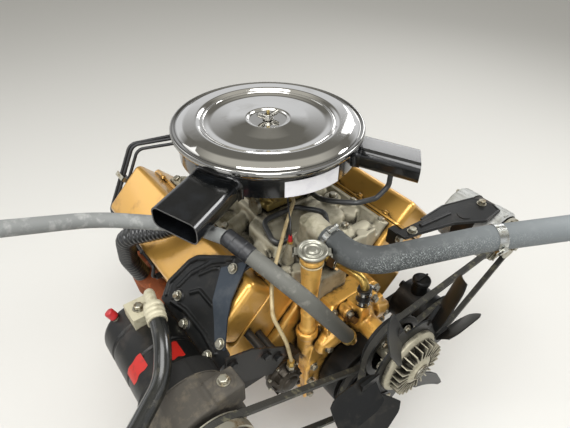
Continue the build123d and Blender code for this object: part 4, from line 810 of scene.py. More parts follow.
# Radiator hose: moulded rubber, gone grey outside, with the fabric telling
# through its skin. It is speckled in its bend, and paler towards the radiator.
PALE_FROM, PALE_TO = 0.02, 0.34
hose_rubber = finish("weathered hose rubber", "#383B3B", "#505352", "#1E1E1C", grain=1.6, depth=0.22,
    cover=0.45, Roughness=0.66)
hose_tree = hose_rubber.node_tree
hose_place = add(hose_tree, "TexCoord").outputs["Object"]
hose_way = add(hose_tree, "SeparateXYZ", {"Vector": hose_place}).outputs["X"]
tint(hose_rubber, ramp(hose_tree, hose_way, PALE_FROM, PALE_TO, high=0.75), "#7F8587")
specks = add(hose_tree, "TexNoise", {"Vector": hose_place, "Scale": 420.0, "Detail": 4.0, "Roughness": 0.7})
facing = add(hose_tree, "NewGeometry").outputs["Normal"]
facing_front = add(hose_tree, "SeparateXYZ", {"Vector": facing}).outputs["Y"]
speck_share = ramp(hose_tree, specks, 0.53, 0.62)
for limit in (
    ramp(hose_tree, hose_way, PALE_TO, PALE_FROM + 0.06, high=0.8),
    ramp(hose_tree, facing_front, -0.35, -0.8),
):
    speck_share = add(hose_tree, "Math", {0: speck_share, 1: limit}, operation="MULTIPLY")
tint(hose_rubber, speck_share, "#A3A8A6")
paint(hose_rubber, "upper_radiator_hose")


# Heater hoses: the lower one is grey with dust, darker low down by the pump;
# the upper one is bleached by the sun. Black tape is wound round their joint.
DARKENING_FROM, DARKENING_TO = 0.30, 0.17


def tint_along(material, axis, start, end, tone, most=1.0):
    """Fades one more tone into a finish along an axis, between two places in metres."""
    tree = material.node_tree
    place = add(tree, "SeparateXYZ", {"Vector": add(tree, "TexCoord").outputs["Object"]}).outputs[axis]
    tint(material, ramp(tree, place, start, end, high=most), tone)


dusty_rubber = finish("dusty hose rubber", "#585852", "#75746C", "#1E1C18", grain=1.2, depth=0.12,
    cover=0.4, Roughness=0.6)
bleached_rubber = finish("bleached hose rubber", "#787A78", "#959693", "#3A3B3A", patch=18, grain=1.1,
    depth=0.14, Roughness=0.62)
# The lower hose is darkened towards its low end, by the pump.
tint_along(dusty_rubber, "Z", DARKENING_FROM, DARKENING_TO, "#2F2E28", 0.8)
paint(dusty_rubber, "heater_hose_lower")
paint(bleached_rubber, "heater_hose_upper")
SPLICE = (-216.0, -493.0, 400.0)
SPLICE_WAY = (-46.0, 135.0, 48.0)
tape_profile = [(15.6, -34), (17.2, -32), (17.6, -18), (17.0, -16), (17.6, -14), (17.4, 6),
    (16.8, 8), (17.2, 10), (16.8, 26), (14.2, 29)]
tape = lathe_into(bmesh.new(), eased(tape_profile, 1), SPLICE, along(SPLICE_WAY), 56)
tape_black = finish("black tape", "#16171A", "#24262A", "#121212", patch=10, Roughness=0.4)
fit("hose_tape", tape, tape_black, sharp=40)


# Bypass: a brown hexagon nut in the manifold, a yellow plated elbow, and a
# short black hose down to the pump.
paint(zinc_yellow, "bypass_elbow")
dark_rubber = finish("black hose rubber", "#181919", "#2F2E2A", "#131210", grain=1.2, depth=0.08,
    cover=0.4, Roughness=0.38)
paint(dark_rubber, "bypass_hose")
brown_nut = finish("oily brown steel", "#6E5231", "#4A3620", "#1B130B", patch=10, grain=0.8, reach=4,
    Metallic=0.7, Roughness=0.45)
nuts = bmesh.new()
nut_way = (Vector((-10, -632, 298)) - Vector((-30, -532, 298))).normalized()
nut_at = Vector((-30, -532, 298)) + nut_way * 14
rod_into(nuts, nut_at, nut_at + nut_way * 15, 15, sides=6)
rod_into(nuts, nut_at + nut_way * 15, nut_at + nut_way * 22, 11.5)
nut_rings = bmesh.new()
for reach in (16.5, 20.5):
    rod_into(nut_rings, nut_at + nut_way * reach, nut_at + nut_way * (reach + 2), 14)
fit("pipe_nut_rings", nut_rings, band_steel)
rod_into(nuts, (-36, -604, 196), (-36, -628, 200), 12, sides=6)
rod_into(nuts, (-36, -622, 199), (-36, -644, 203), 7)
fit("pipe_nuts", nuts, brown_nut)


# Fuel pump: a sealed mechanical pump of crimped steel on the front corner of
# the block, dark with oil. Ribs stiffen its dome.
oily_dark = finish("oily dark steel", "#39332A", "#241F18", "#0F0C09", Metallic=0.6, Roughness=0.38)
FUEL_PUMP = (-186.0, -578.0, 92.0)


def around(count, radius, y, first=0.0, centre=(0.0, 0.0)):
    """Places round an axis along the engine, from a first angle in degrees."""
    for i in range(count):
        angle = math.radians(first + 360 * i / count)
        yield (centre[0] + radius * math.cos(angle), y, centre[1] + radius * math.sin(angle))


to_front = turned_by(90, "X")
fuel = lathe_into(bmesh.new(), eased([(0, 0), (33, 0), (35, 9), (40, 12), (40, 20), (37, 22), (34, 26),
    (31, 38), (24, 43), (20, 43), (18, 47), (10, 49.6), (0, 49.6)], 2), FUEL_PUMP, to_front, 64)
for i in range(12):
    spin = Matrix.Translation(mm(*FUEL_PUMP)) @ to_front @ turned_by(30 * i, "Z")
    box_into(fuel, (22, -1.5, 24), (34.5, 1.5, 40), spin)
box_into(fuel, (-202, -584, 72), (-132, -552, 112))
rod_into(fuel, (-178, -612, 122), (-178, -612, 138), 8)
rod_into(fuel, (-170, -604, 60), (-150, -604, 44), 7)
fit("fuel_pump_body", fuel, oily_dark, ["fuel_pump"], sharp=30)
crimps = bmesh.new()
for place in around(8, 36.4, -597, 22.5, (FUEL_PUMP[0], FUEL_PUMP[2])):
    bolt_into(crimps, place, FRONT, 8, 4, 1.1)
rod_into(crimps, (-178, -612, 132), (-178, -612, 140), 9.5, sides=6)
fit("fuel_pump_screws", crimps, dull_steel)

# Fuel line: bent steel tube in an aged cream plating, with a flare nut at each
# end.
cream_line = finish("aged cream tube plating", "#B8A77F", "#957F57", "#4A3C26", depth=0.04, reach=3,
    Metallic=0.25, Roughness=0.42)
paint(cream_line, "fuel_line")
flare_nuts = bmesh.new()
rod_into(flare_nuts, (-178, -612, 140.2), (-178, -612, 153), 7.5, sides=6)
rod_into(flare_nuts, (-22, -384.4, 372), (-22, -399, 372), 8, sides=6)
rod_into(flare_nuts, (-22, -399, 372), (-22, -405, 372), 5.5)
fit("flare_nuts", flare_nuts, zinc_yellow)


# Exhaust manifolds: iron logs with a flange at each port, bare and rusty all
# over, with patches of a brighter orange.
LOG_VOXEL = 0.004
rusty_iron = finish("rusty cast iron", "#7A3F1E", "#A85B2A", "#2E1B12", patch=30, grain=1.4, depth=0.4,
    cover=0.42, Metallic=0.15, Roughness=0.85)


def manifold_flesh(bm):
    """A neck and a flange at each port, the log's end and the rib on it."""
    for y in bores:
        rod_into(bm, (100, y, 285), (124, y, 285), 22, 27)
        for step in (-30, 30):
            rod_into(bm, (92, y + step, 285), (105, y + step, 285), 12)
    rod_into(bm, (128, -500, 285), (128, -508, 285), 24, 14)
    box_into(bm, (124, -440, 305), (132, -96, 312))


def manifold_studs(bm):
    """A bolt on each side of a port."""
    for y in bores:
        for step in (-30, 30):
            bolt_into(bm, (105, y + step, 285), (1, 0, 0), 13, 8)


for (side, flesh), (side, studs) in zip(on_banks(manifold_flesh), on_banks(manifold_studs)):
    node = f"exhaust_manifold_{side}"
    cast(f"exhaust_log_{side}", flesh, node, rusty_iron, LOG_VOXEL)
    fit(f"exhaust_bolts_{side}", studs, rusty_iron)


# Crank pulley and damper: black painted steel and iron, with the crankshaft's
# bolt and washer in front, and six small bolts round it.
satin_black = finish("satin black bracket paint", "#0E0F0F", "#25231F", "#1B1713", patch=30, grain=1.2,
    depth=0.12, cover=0.38, Roughness=0.4, Specular_IOR_Level=0.25, Coat_Weight=0.1, Coat_Roughness=0.2)
paint(satin_black, "crank_pulley", "crank_damper", "pump_pulley", "power_steering_pulley")
paint(dull_steel, "crankshaft")
crank_bolt = bmesh.new()
rod_into(crank_bolt, (0, -716, 0), (0, -721, 0), 29)
bolt_into(crank_bolt, (0, -720.5, 0), FRONT, 26, 14)
for place in around(6, 48, -718.7):
    bolt_into(crank_bolt, place, FRONT, 13, 6)
fit("crank_bolts", crank_bolt, dull_steel, body="crank")


# Flexplate at the rear of the crankshaft: a disc of oiled sheet steel with
# pressed rings, and the starter's ring gear round it.
GEAR_TEETH = 144
oiled_plate = finish("oiled sheet steel", "#77756E", "#5C564B", "#1F1A14", patch=90, grain=3,
    depth=0.03, reach=8, Metallic=0.85, Roughness=0.4)
paint(oiled_plate, "flexplate")
teeth = bmesh.new()
for low, high in ((62, 84), (118, 150)):
    ring_press = [(low, 11.8), (low + 4, 13.8), (high - 4, 13.8), (high, 11.8), (low, 11.8)]
    lathe_into(teeth, [(r, -y) for r, y in ring_press], (0, 0, 0), to_front, 96)
for i in range(GEAR_TEETH):
    box_into(teeth, (176.5, 10, -1.7), (180.5, 18.5, 1.7), turned_by(360 / GEAR_TEETH * i, "Y"))
for place in around(6, 36, 12, 20):
    bolt_into(teeth, place, REAR, 16, 5.5)
fit("ring_gear_teeth", teeth, oiled_plate, body="crank")


# Fan: six pressed steel blades with a shallow camber, riveted to a spider on
# the clutch. Painted satin black.
FAN_PITCH = math.radians(38)
FAN_BLADES = 6
BLADE_PLANE = -765.0
BLADE_ROOT, BLADE_LENGTH = 90, 110
BLADE_STEPS, BLADE_STRIPS = 12, 10


def blade_place(reach, chord, off):
    """A place on a blade: reach from the shaft, along its chord, off its face."""
    y = BLADE_PLANE - chord * math.sin(FAN_PITCH) + off * math.cos(FAN_PITCH)
    z = chord * math.cos(FAN_PITCH) + off * math.sin(FAN_PITCH)
    return mm(reach, y, z)


def spins(count, place, first=0.0):
    """Moves to a place, each with a further turn about an axis along the engine."""
    for i in range(count):
        yield at(place, first + 360 * i / count)


fan = lathe_into(bmesh.new(), [(72.3, 752), (96, 752), (96, 755.6), (72.3, 755.6), (72.3, 752)],
    (0, 0, PUMP_AXIS), to_front, 72)
rivets = bmesh.new()
for where in spins(FAN_BLADES, (0, 0, PUMP_AXIS)):
    sides = []
    for face in (1.1, -1.1):
        grid = []
        for a in range(BLADE_STEPS + 1):
            reach = BLADE_ROOT + BLADE_LENGTH * a / BLADE_STEPS
            # Half the blade's width, which is less at its tip and at its root.
            wide = 36 - 11 * max(0.0, (reach - 176) / 24) ** 2 - 9 * max(0.0, (112 - reach) / 22)
            row = []
            for b in range(BLADE_STRIPS + 1):
                share = 2 * b / BLADE_STRIPS - 1
                camber = 3.2 * (1 - share * share) - 2.1
                row.append(fan.verts.new(where @ blade_place(reach, wide * share, camber + face)))
            grid.append(row)
        sides.append(grid)
    for grid in sides:
        for a in range(BLADE_STEPS):
            for b in range(BLADE_STRIPS):
                fan.faces.new((grid[a][b], grid[a + 1][b], grid[a + 1][b + 1], grid[a][b + 1]))
    front, back = sides
    rim = [(a, 0) for a in range(BLADE_STEPS)] + [(BLADE_STEPS, b) for b in range(BLADE_STRIPS)]
    rim += [(a, BLADE_STRIPS) for a in range(BLADE_STEPS, 0, -1)]
    rim += [(0, b) for b in range(BLADE_STRIPS, 0, -1)]
    for (a, b), (c, d) in zip(rim, rim[1:] + rim[:1]):
        fan.faces.new((front[a][b], front[c][d], back[c][d], back[a][b]))
    for reach, chord in ((100, -14), (100, -22), (118, -18)):
        start, end = (where @ blade_place(reach, chord, off) * 1000 for off in (0, 5))
        rod_into(rivets, start, end, 4.4, 3.0)
    box_into(fan, (84, -758, -26), (128, -751, 2), where)
fit("fan_blades", fan, satin_black, ["fan"], sharp=40, body="fan_drive")
fit("fan_rivets", rivets, dull_steel, body="fan_drive")


# Fan clutch: a die-cast aluminium drum filled with thick oil. Its fins throw
# off heat, and a small coil spring of bimetal sits in the middle.
clutch = lathe_into(bmesh.new(), eased([(0, 695.8), (32, 695.8), (32, 738), (66, 742), (72, 748),
    (72, 764), (64, 768), (40, 772), (34, 786), (24, 788), (22, 791.6), (0, 791.6)], 2.5),
    (0, 0, PUMP_AXIS), to_front, 96)
for where in spins(26, (0, 0, PUMP_AXIS)):
    box_into(clutch, (34, -788, -1.2), (62, -764, 1.2), where)
    box_into(clutch, (40, -748, -1.2), (70, -738, 1.2), where)
fit("fan_clutch_drum", clutch, weathered_casting, ["fan_clutch"], sharp=34,
    body="fan_drive")
coil_spring = bmesh.new()
for turn in range(4):
    r = 6 + 3.4 * turn
    ring = [(r, 791), (r + 1.4, 791), (r + 1.4, 794), (r, 794), (r, 791)]
    lathe_into(coil_spring, ring, (0, 0, PUMP_AXIS), to_front, 48)
for place in around(4, 45.6, -718.9, 45, (0, PUMP_AXIS)):
    bolt_into(coil_spring, place, FRONT, 13, 6)
fit("fan_clutch_coil", coil_spring, dull_steel, body="fan_drive")


# Alternator: two pale die-cast end frames with slots for air, round a dark
# stack of stator iron. Long bolts tie them together.
ALTERNATOR = (394.756, 0.0, 235.52)
pale_aluminium = finish("pale die-cast aluminium", "#B4B5B2", "#96968E", "#2C2A26", patch=30, reach=14,
    Metallic=0.6, Roughness=0.45)
frames = bmesh.new()
for face, inner, edge in ((549.5, 592.0, 1), (683.6, 640.0, -1)):
    shell = [(57, face + 5 * edge), (57, face), (60, face - 1 * edge), (65.6, face + 5 * edge),
        (65.8, inner), (61.5, inner), (61.5, face + 5 * edge), (57, face + 5 * edge)]
    lathe_into(frames, shell, ALTERNATOR, to_front, 96)
    hub = [(0, face), (19, face), (24, face + 5 * edge), (24, face + 9 * edge), (0, face + 9 * edge)]
    lathe_into(frames, hub, ALTERNATOR, to_front, 48)
    low, high = sorted((-face - 0.4 * edge, -face - 5 * edge))
    for spin in spins(16, ALTERNATOR):
        box_into(frames, (20, low, -3.4), (61, high, 3.4), spin)
    low, high = sorted((-face - 4 * edge, -inner))
    for spin in spins(32, ALTERNATOR):
        box_into(frames, (60, low, -1.5), (65.9, high, 1.5), spin)
LUG_TURNS = (28, 152, 272)
for angle in LUG_TURNS:
    spin = at(ALTERNATOR, angle)
    box_into(frames, (54, -592, -8), (65.5, -552, 8), spin)
    box_into(frames, (54, -682, -8), (65.5, -640, 8), spin)
fit("alternator_frames", frames, pale_aluminium, ["alternator_case"])
stator_iron = finish("varnished stator iron", "#2E2A25", "#4A3A2B", "#141210", grain=1.2, Metallic=0.5,
    Roughness=0.5)
stator = lathe_into(bmesh.new(), [(0, 556), (54, 556), (54, 592), (63.5, 592), (63.5, 640), (54, 640),
    (54, 676), (0, 676)], ALTERNATOR, to_front, 96)
fit("alternator_stator", stator, stator_iron)
tie_bolts = bmesh.new()
for angle in LUG_TURNS:
    spin = at(ALTERNATOR, angle)
    bolt_into(tie_bolts, put(spin, 58, -552, 0), REAR, 9, 6)
    rod_into(tie_bolts, put(spin, 60, -640, 0), put(spin, 60, -592, 0), 3)
fit("alternator_tie_bolts", tie_bolts, dull_steel)
paint(dull_steel, "alternator_pulley")
vanes = bmesh.new()
for spin in spins(11, ALTERNATOR, 14):
    box_into(vanes, (26, -699.5, -0.9), (57, -694.5, 0.9), spin)
rod_into(vanes, (ALTERNATOR[0], -718.5, ALTERNATOR[2]), (ALTERNATOR[0], -726, ALTERNATOR[2]), 12, sides=6)
rod_into(vanes, (ALTERNATOR[0], -725, ALTERNATOR[2]), (ALTERNATOR[0], -731, ALTERNATOR[2]), 7.5)
fit("alternator_fan_vanes", vanes, dull_steel, body="alternator_rotor")


# Alternator brackets: pressings in satin black with turned-down edges, bolted
# to the front of the driver's head.
paint(satin_black, "alternator_bracket", "alternator_arm")
STRAP_TOP = 305.32
strap_rib = bmesh.new()
strap_edge = ((220, -575), (300, -572), (384, -595), (400, -640), (392, -661), (336, -666), (269, -628),
    (177, -604), (140, -597), (139, -576))
for a, b in zip(strap_edge, strap_edge[1:]):
    rod_into(strap_rib, (*a, STRAP_TOP - 1), (*b, STRAP_TOP - 1), 2.6, sides=12)
rod_into(strap_rib, (200, -590, STRAP_TOP - 2), (290, -600, STRAP_TOP - 2), 6)
rod_into(strap_rib, (311.8, -624, STRAP_TOP - 0.6), (311.8, -624, STRAP_TOP + 1.4), 15)
fit("alternator_bracket_rim", strap_rib, satin_black, sharp=50)
STRAP_BOLTS = (
    # place and way
    ((148, -576, 288), FRONT),
    ((382, -622, STRAP_TOP), UP),
    ((170, -592, STRAP_TOP), UP),
    ((236, -566, 156), FRONT),
    ((394, -620, 157), DOWN),
)
bolts("alternator_bracket_bolts", dull_steel, [(place, way, 15, 9) for place, way in STRAP_BOLTS])


# Refrigerant compressor: a black steel can with two rolled grooves, a service
# cap in red plastic, and the ends of its through bolts behind.
COMPRESSOR = (-396.756, 0.0, 200.52)
can_black = finish("dusty black enamel", "#0F0F0E", "#2A2520", "#211B14", patch=40, grain=1.3,
    cover=0.4, Roughness=0.36, Specular_IOR_Level=0.3, Coat_Weight=0.1, Coat_Roughness=0.25)
can = lathe_into(bmesh.new(), eased([(0, 378.4), (44, 378.4), (48, 382), (60, 382), (66, 385),
    (68, 392), (68, 430), (66, 432.5), (66, 437), (68, 440), (68, 500), (66, 502.5), (66, 507),
    (68, 510), (68, 560), (0, 560)], 2.5), COMPRESSOR, to_front, 112)
fit("compressor_can", can, can_black, ["compressor"], sharp=34)
can_bolts = bmesh.new()
for spin in spins(6, COMPRESSOR, 20):
    bolt_into(can_bolts, put(spin, 54, -382, 0), REAR, 11, 3.6, 1.1)
stem = Vector((-430, -396, 252))
stem_way = Vector((-0.42, 0.42, 0.8)).normalized()
rod_into(can_bolts, stem - stem_way * 14, stem + stem_way * 12, 5.5)
rod_into(can_bolts, stem - stem_way * 2, stem + stem_way * 6, 8, sides=6)
fit("compressor_rear_bolts", can_bolts, dull_steel)
red_plastic = finish("red plastic", "#A81D22", "#8F1A1F", "#4A1214", patch=10, depth=0.04,
    Roughness=0.42)
cap_red = lathe_into(bmesh.new(), eased([(0, 8), (8.5, 8), (9.2, 12), (9.2, 24), (7.6, 27), (0, 27)],
    1.2), stem, along(stem_way), 24)
fit("service_cap", cap_red, red_plastic, sharp=40)

# What is left of the can's sticker: red foil, torn, with no print on it.
torn_foil = finish("torn red foil", "#A62018", "#7C2520", "#2A1512", patch=12, grain=0.9, depth=0.04,
    cover=0.4, Roughness=0.3)
FOIL_STEPS = 9
foil = bmesh.new()
for low, high, front, rear in ((64.0, 90.0, -549.0, -513.0), (118.0, 157.0, -528.5, -497.0)):
    rows = []
    for i in range(FOIL_STEPS + 1):
        angle = math.radians(low + (high - low) * i / FOIL_STEPS)
        ragged = 1.1 * math.sin(5.1 * i) + 0.5 * math.sin(11.3 * i + 1)
        row = []
        for radius in (68.05, 68.3):
            for y in (front + ragged, rear - ragged * 0.7):
                x = COMPRESSOR[0] + radius * math.cos(angle)
                row.append(mm(x, y, COMPRESSOR[2] + radius * math.sin(angle)))
        rows.append(row)
    strip_into(foil, rows)
fit("sticker_rest", foil, torn_foil)


# Compressor's front bracket: a heavy iron casting, dusty brown, that rings the
# clutch end and reaches in to the engine with a bolted ear.
dusty_iron = finish("dusty cast iron", "#45413A", "#625A4C", "#211C16", patch=30, grain=1.6, depth=0.4,
    cover=0.45, Metallic=0.2, Roughness=0.78)
ring = bmesh.new()
for spin in spins(8, COMPRESSOR, 10):
    box_into(ring, (66, -668, -7), (78, -566, 7), spin)
rod_into(ring, (-349, -650, 278), (-349, -650, 292), 19, 16)
box_into(ring, (-392, -664, 262), (-326, -640, 274))
# Its rear half is blacked with the can, up to a thin lip.
SHELL_LIP = 600.0
ring_iron = dusty_iron.copy()
ring_iron.name = "dusty cast iron, blacked behind"
tint_along(ring_iron, "Y", -(SHELL_LIP + 3) / 1000, -SHELL_LIP / 1000, "#151412")
cast("compressor_front_casting", ring, "compressor_bracket_front", ring_iron, voxel=0.003)
shell_lip = lathe_into(bmesh.new(), eased([(73, SHELL_LIP - 1), (77.6, SHELL_LIP),
    (77.9, SHELL_LIP + 2), (73, SHELL_LIP + 4)], 0.9), COMPRESSOR, to_front, 96)
fit("compressor_shell_lip", shell_lip, dusty_iron, sharp=50)
ring_bolts = bmesh.new()
bolt_into(ring_bolts, (-349, -650, 291), UP, 15, 9)
for x, y, z in around(4, 56, -672, 30, (COMPRESSOR[0], COMPRESSOR[2])):
    rod_into(ring_bolts, (x, y, z), (x, y - 3.4, z), 6, sides=6)
fit("compressor_front_bolts", ring_bolts, dull_steel)

# Compressor's clutch: a grooved steel pulley with a plate on springs in front.
paint(dull_steel, "compressor_pulley")
face_profile = [(0, 710.5), (58, 710.5), (60, 712), (60, 714.5), (34, 714.5), (30, 717), (12, 717),
    (10, 722), (0, 722)]
clutch_plate = lathe_into(bmesh.new(), eased(face_profile, 1.5), COMPRESSOR, to_front, 72)
for spin in spins(3, COMPRESSOR):
    box_into(clutch_plate, (16, -718.5, -9), (52, -714, 9), spin)
fit("compressor_clutch_plate", clutch_plate, dusty_iron, sharp=34, body="compressor_clutch")


# Compressor's rear bracket: a stamping in satin black over the passenger's
# valve cover, stiffened by pressed ridges, with a bolted foot on the manifold.
bank_up = passenger_bank.to_3x3() @ Vector(UP)
on_stamping = Matrix.Translation(mm(0, -PASSENGER_SHIFT, 0)) @ passenger_bank
STAMPING_TOP = 401.5
PRESSED_RIDGES = (
    # ridge's radius and its way, as distance outboard and place along the engine
    (6.5, ((60, -383), (35, -371), (-27, -386), (-46, -399), (-97, -476))),
    (5.5, ((29, -398), (-13, -408), (-62, -437), (-84, -464))),
    (4.5, ((-25, -428), (-51, -446), (-62, -458))),
    (5.5, ((58, -404), (46, -452), (44, -520), (52, -572))),
    (4.5, ((16, -434), (-4, -452), (-4, -500))),
)
stamping = bmesh.new()
for radius, way in PRESSED_RIDGES:
    for run in zip(way, way[1:]):
        start, end = (put(on_stamping, *spot, STAMPING_TOP - 1) for spot in run)
        rod_into(stamping, start, end, radius)
STAMPING_BOLTS = ((38, -414), (64, -560), (64, -470))
for x, y in STAMPING_BOLTS:
    rod_into(stamping, put(on_stamping, x, y, 397), put(on_stamping, x, y, STAMPING_TOP + 2.5), 15, 12)
cast("compressor_bracket_stamping", stamping, "compressor_bracket_rear", satin_black,
    voxel=0.0015, passes=4)
stamping_bolts = [(put(on_stamping, x, y, STAMPING_TOP + 2.3), bank_up, 14, 8)
    for x, y in STAMPING_BOLTS]
bolts("compressor_bracket_bolts", dull_steel, stamping_bolts + [((-138, -494, 308.5), UP, 14, 8)])


# Brace: a smooth blue-black strap that narrows towards the front. A bolt holds
# it at each end.
blue_black = finish("blue-black steel strap", "#353C44", "#464B50", "#1C1916", patch=50, grain=3,
    depth=0.05, cover=0.4, Metallic=0.5, Roughness=0.34)
paint(blue_black, "compressor_brace")
brace_spots = [put(on_stamping, x, y, STAMPING_TOP + 3.3) for x, y in ((-84, -492), (30, -568))]
bolts("compressor_brace_bolts", dull_steel, [(spot, bank_up, 14, 7) for spot in brace_spots])


# Side plate of the compressor's bracket: flat steel, bolted to the front of
# the head on two spacers. Rust has run down from its bolts.
streaked_black = finish("rust-streaked black paint", "#1B1A18", "#7A421C", "#20170F", patch=35,
    grain=1.2, depth=0.15, cover=0.18, Metallic=0.1, Roughness=0.5)
paint(streaked_black, "compressor_bracket_side")
head_spots = [put(passenger_bank, 15, 0, height) for height in (277, 315)]
plate_spots = [(spot.x, spot.z) for spot in head_spots] + [(-306, 246)]
bolts("side_plate_bolts", satin_black, [((x, -604, z), FRONT, 15, 8) for x, z in plate_spots])


# Refrigerant fitting: an aluminium block and elbow, gone chalky and cream. Its
# ferrule is crimped on the hose with three rings.
cream_fitting = finish("chalky cream aluminium", "#B3AD95", "#968F78", "#5A5342", patch=12, grain=0.9,
    reach=6, Metallic=0.15, Roughness=0.5)
paint(cream_fitting, "compressor_fitting")
barrier_rubber = finish("smooth barrier hose rubber", "#161715", "#33312A", "#1C1A15", grain=1.4,
    depth=0.04, cover=0.4, Roughness=0.24, Coat_Weight=0.35, Coat_Roughness=0.12)
paint(barrier_rubber, "compressor_hose")
ferrule_start = Vector((-381.756, -474.0, 331.52))
ferrule_end = Vector((-389.756, -508.0, 328.52))
length = (ferrule_end - ferrule_start).length
profile = [(10, -1.5), (16.6, -1)]
for i in range(3):
    crest = 5 + 10 * i
    profile += [(17.6, crest - 2.4), (17.9, crest), (17.6, crest + 2.4)]
    profile += [(16.4, crest + 4), (16.4, crest + 6)]
profile += [(17.4, length - 2), (17.2, length + 1), (14.4, length + 1.4)]
ferrule = lathe_into(bmesh.new(), profile, ferrule_start, along(ferrule_end - ferrule_start), 48)
fit("crimped_ferrule", ferrule, cream_fitting, sharp=50)
bolts("fitting_bolts", dull_steel, [((-396, -428, 292.5), UP, 14, 9)])


# Power steering pump: a pressed black can with its reservoir's filler neck on
# top, fed and emptied by two stubs.
paint(satin_black, "power_steering_pump")
steering = lathe_into(bmesh.new(), eased([(0, 121.5), (22, 121.5), (23, 124), (23, 132), (20, 135),
    (8, 136), (0, 136)], 1.6), (232, -610, 0), steps=48)
box_into(steering, (212, -612, 135), (252, -608, 140))
rod_into(steering, (232, -572, 20), (232, -548, 20), 8)
rod_into(steering, (252, -572, 50), (252, -544, 50), 10)
fit("steering_reservoir_cap", steering, satin_black)
bolts("steering_pulley_nut", dull_steel, [((232, -680.9, 38), FRONT, 22, 8)], body="steering_rotor")


# Belts: rubber V-belts with a woven back, olive-grey with dust. Fine lines of
# cord run round them.
CORD_PITCH, CORD_DEPTH = 0.0024, 0.0003
belt_rubber = finish("dusty belt rubber", "#2A2924", "#6E6B55", "#141311", cover=0.35, Roughness=0.6)
belt_tree = belt_rubber.node_tree
belt_place = add(belt_tree, "TexCoord").outputs["Object"]
across_belt = add(belt_tree, "SeparateXYZ", {"Vector": belt_place}).outputs["Y"]
turns = add(belt_tree, "Math", {0: across_belt, 1: 2 * math.pi / CORD_PITCH}, operation="MULTIPLY")
cords = add(belt_tree, "Math", {0: turns}, operation="SINE")
cord_relief = add(belt_tree, "Bump", {"Height": cords, "Distance": CORD_DEPTH})
belt_tree.links.new(cord_relief.outputs[0], belt_tree.nodes["Principled BSDF"].inputs["Normal"])
paint(belt_rubber, "belt_power_steering", "belt_compressor", "belt_alternator")


# Engine mounts: pressed and welded brackets on the block, satin black, each
# held by four bolts.
paint(satin_black, "engine_mount_driver", "engine_mount_passenger")
MOUNT_BOLTS = ((-322, 26), (-238, 26), (-322, -26), (-238, -26))
mount_bolts = [((side * 160, y, z), (side, 0, 0), 15, 8) for side in (-1, 1) for y, z in MOUNT_BOLTS]
bolts("engine_mount_bolts", dull_steel, mount_bolts)


# Distributor: a black moulded cap on a body, held by two latches. Eight towers
# stand round the coil's one, with rubber boots on them.
black_plastic = finish("moulded black plastic", "#171717", "#262422", "#1A1713", depth=0.05,
    Roughness=0.38)
paint(black_plastic, "distributor")
latches = bmesh.new()
for side in (-1, 1):
    box_into(latches, (side * 42 - 4, -50, 280), (side * 49, -42, 320))
    rod_into(latches, (side * 26, -46, 262), (side * 44, -46, 284), 4)
fit("distributor_latches", latches, dull_steel)


# Spark plug leads and the coil's lead: black silicone cord with moulded boots.
# Under each boot shows the hexagon of a plated plug.
lead_rubber = finish("black lead insulation", "#1C1D1F", "#34322E", "#14120F", patch=30, grain=0.9,
    depth=0.04, cover=0.4, Roughness=0.45)
paint(lead_rubber, "spark_plug_wires_driver", "spark_plug_wires_passenger")


def plug_shells(bm):
    """The seat and the hexagon of each plug."""
    for y in bores:
        foot = Vector((75.0, y - BORE_SPACING / 2, 317.0))
        way = Vector((24.0, 0.0, 34.0)).normalized()
        rod_into(bm, foot - way * 3, foot + way * 2.2, 11)
        rod_into(bm, foot + way * 2.2, foot + way * 9, 9.6, sides=6)


for side, shells in on_banks(plug_shells):
    fit(f"spark_plugs_{side}", shells, dull_steel)

# Holders of the leads: moulded combs, clipped to the cover's rail, and one on a
# bent strip behind each head.
LEAD_COMBS = (
    # place along the engine, inner and outer edge, low and high edge
    (-82.0, 49.0, 70.5, 340.5, 362.5),
    (-208.0, 49.0, 70.5, 340.5, 362.5),
    (-326.0, 49.0, 59.5, 340.5, 362.5),
    (-444.0, 49.0, 59.5, 350.0, 362.5),
)
for where, shift, side in ((bank, 0.0, "driver"), (passenger_bank, PASSENGER_SHIFT, "passenger")):
    combs = bmesh.new()
    for y, inner, outer, low, high in LEAD_COMBS:
        box_into(combs, (inner, y - 4, low), (outer, y + 4, high))
        box_into(combs, (46, y - 3, 333), (50, y + 3, high))
    box_into(combs, (-36, -19 - shift, 366), (-27, 17 - shift, 394))
    bmesh.ops.transform(combs, matrix=where, verts=combs.verts)
    made = fit(f"lead_holders_{side}", combs, black_plastic)
    melt(made, voxel=0.0012, passes=3)
    strip = bmesh.new()
    box_into(strip, (-37, -34, 300), (-26, -31.5, 396))
    box_into(strip, (-37, -34, 393.5), (-26, 17 - shift, 396))
    bolt_into(strip, (-31.5, -32, 312), REAR, 12, 7)
    bmesh.ops.transform(strip, matrix=where, verts=strip.verts)
    fit(f"lead_strip_{side}", strip, dull_steel)


# Ignition coil: a pressed steel can filled with oil, with a rolled seam, a
# clamp round it and a moulded tower between two studs.
paint(satin_black, "ignition_coil")
COIL = (100.0, 0.0, 340.3)
coil_tower = lathe_into(bmesh.new(), eased([(0, 113), (25, 113), (25, 109), (22, 106), (12, 103),
    (10.5, 95.8), (4.4, 95.8)], 1.5), COIL, to_front, 56)
fit("coil_tower", coil_tower, black_plastic, sharp=40)
coil_fittings = lathe_into(bmesh.new(), [(27, 112), (28.2, 112), (28.2, 116), (27, 116), (27, 112)],
    COIL, to_front, 64)
for side in (-1, 1):
    rod_into(coil_fittings, (100 + side * 17, -108, 340.3), (100 + side * 17, -98, 340.3), 2.4)
    bolt_into(coil_fittings, (100 + side * 17, -107, 340.3), REAR, 7, 3)
bolt_into(coil_fittings, (100, -141, 372), UP, 9, 4)
fit("coil_fittings", coil_fittings, dull_steel)


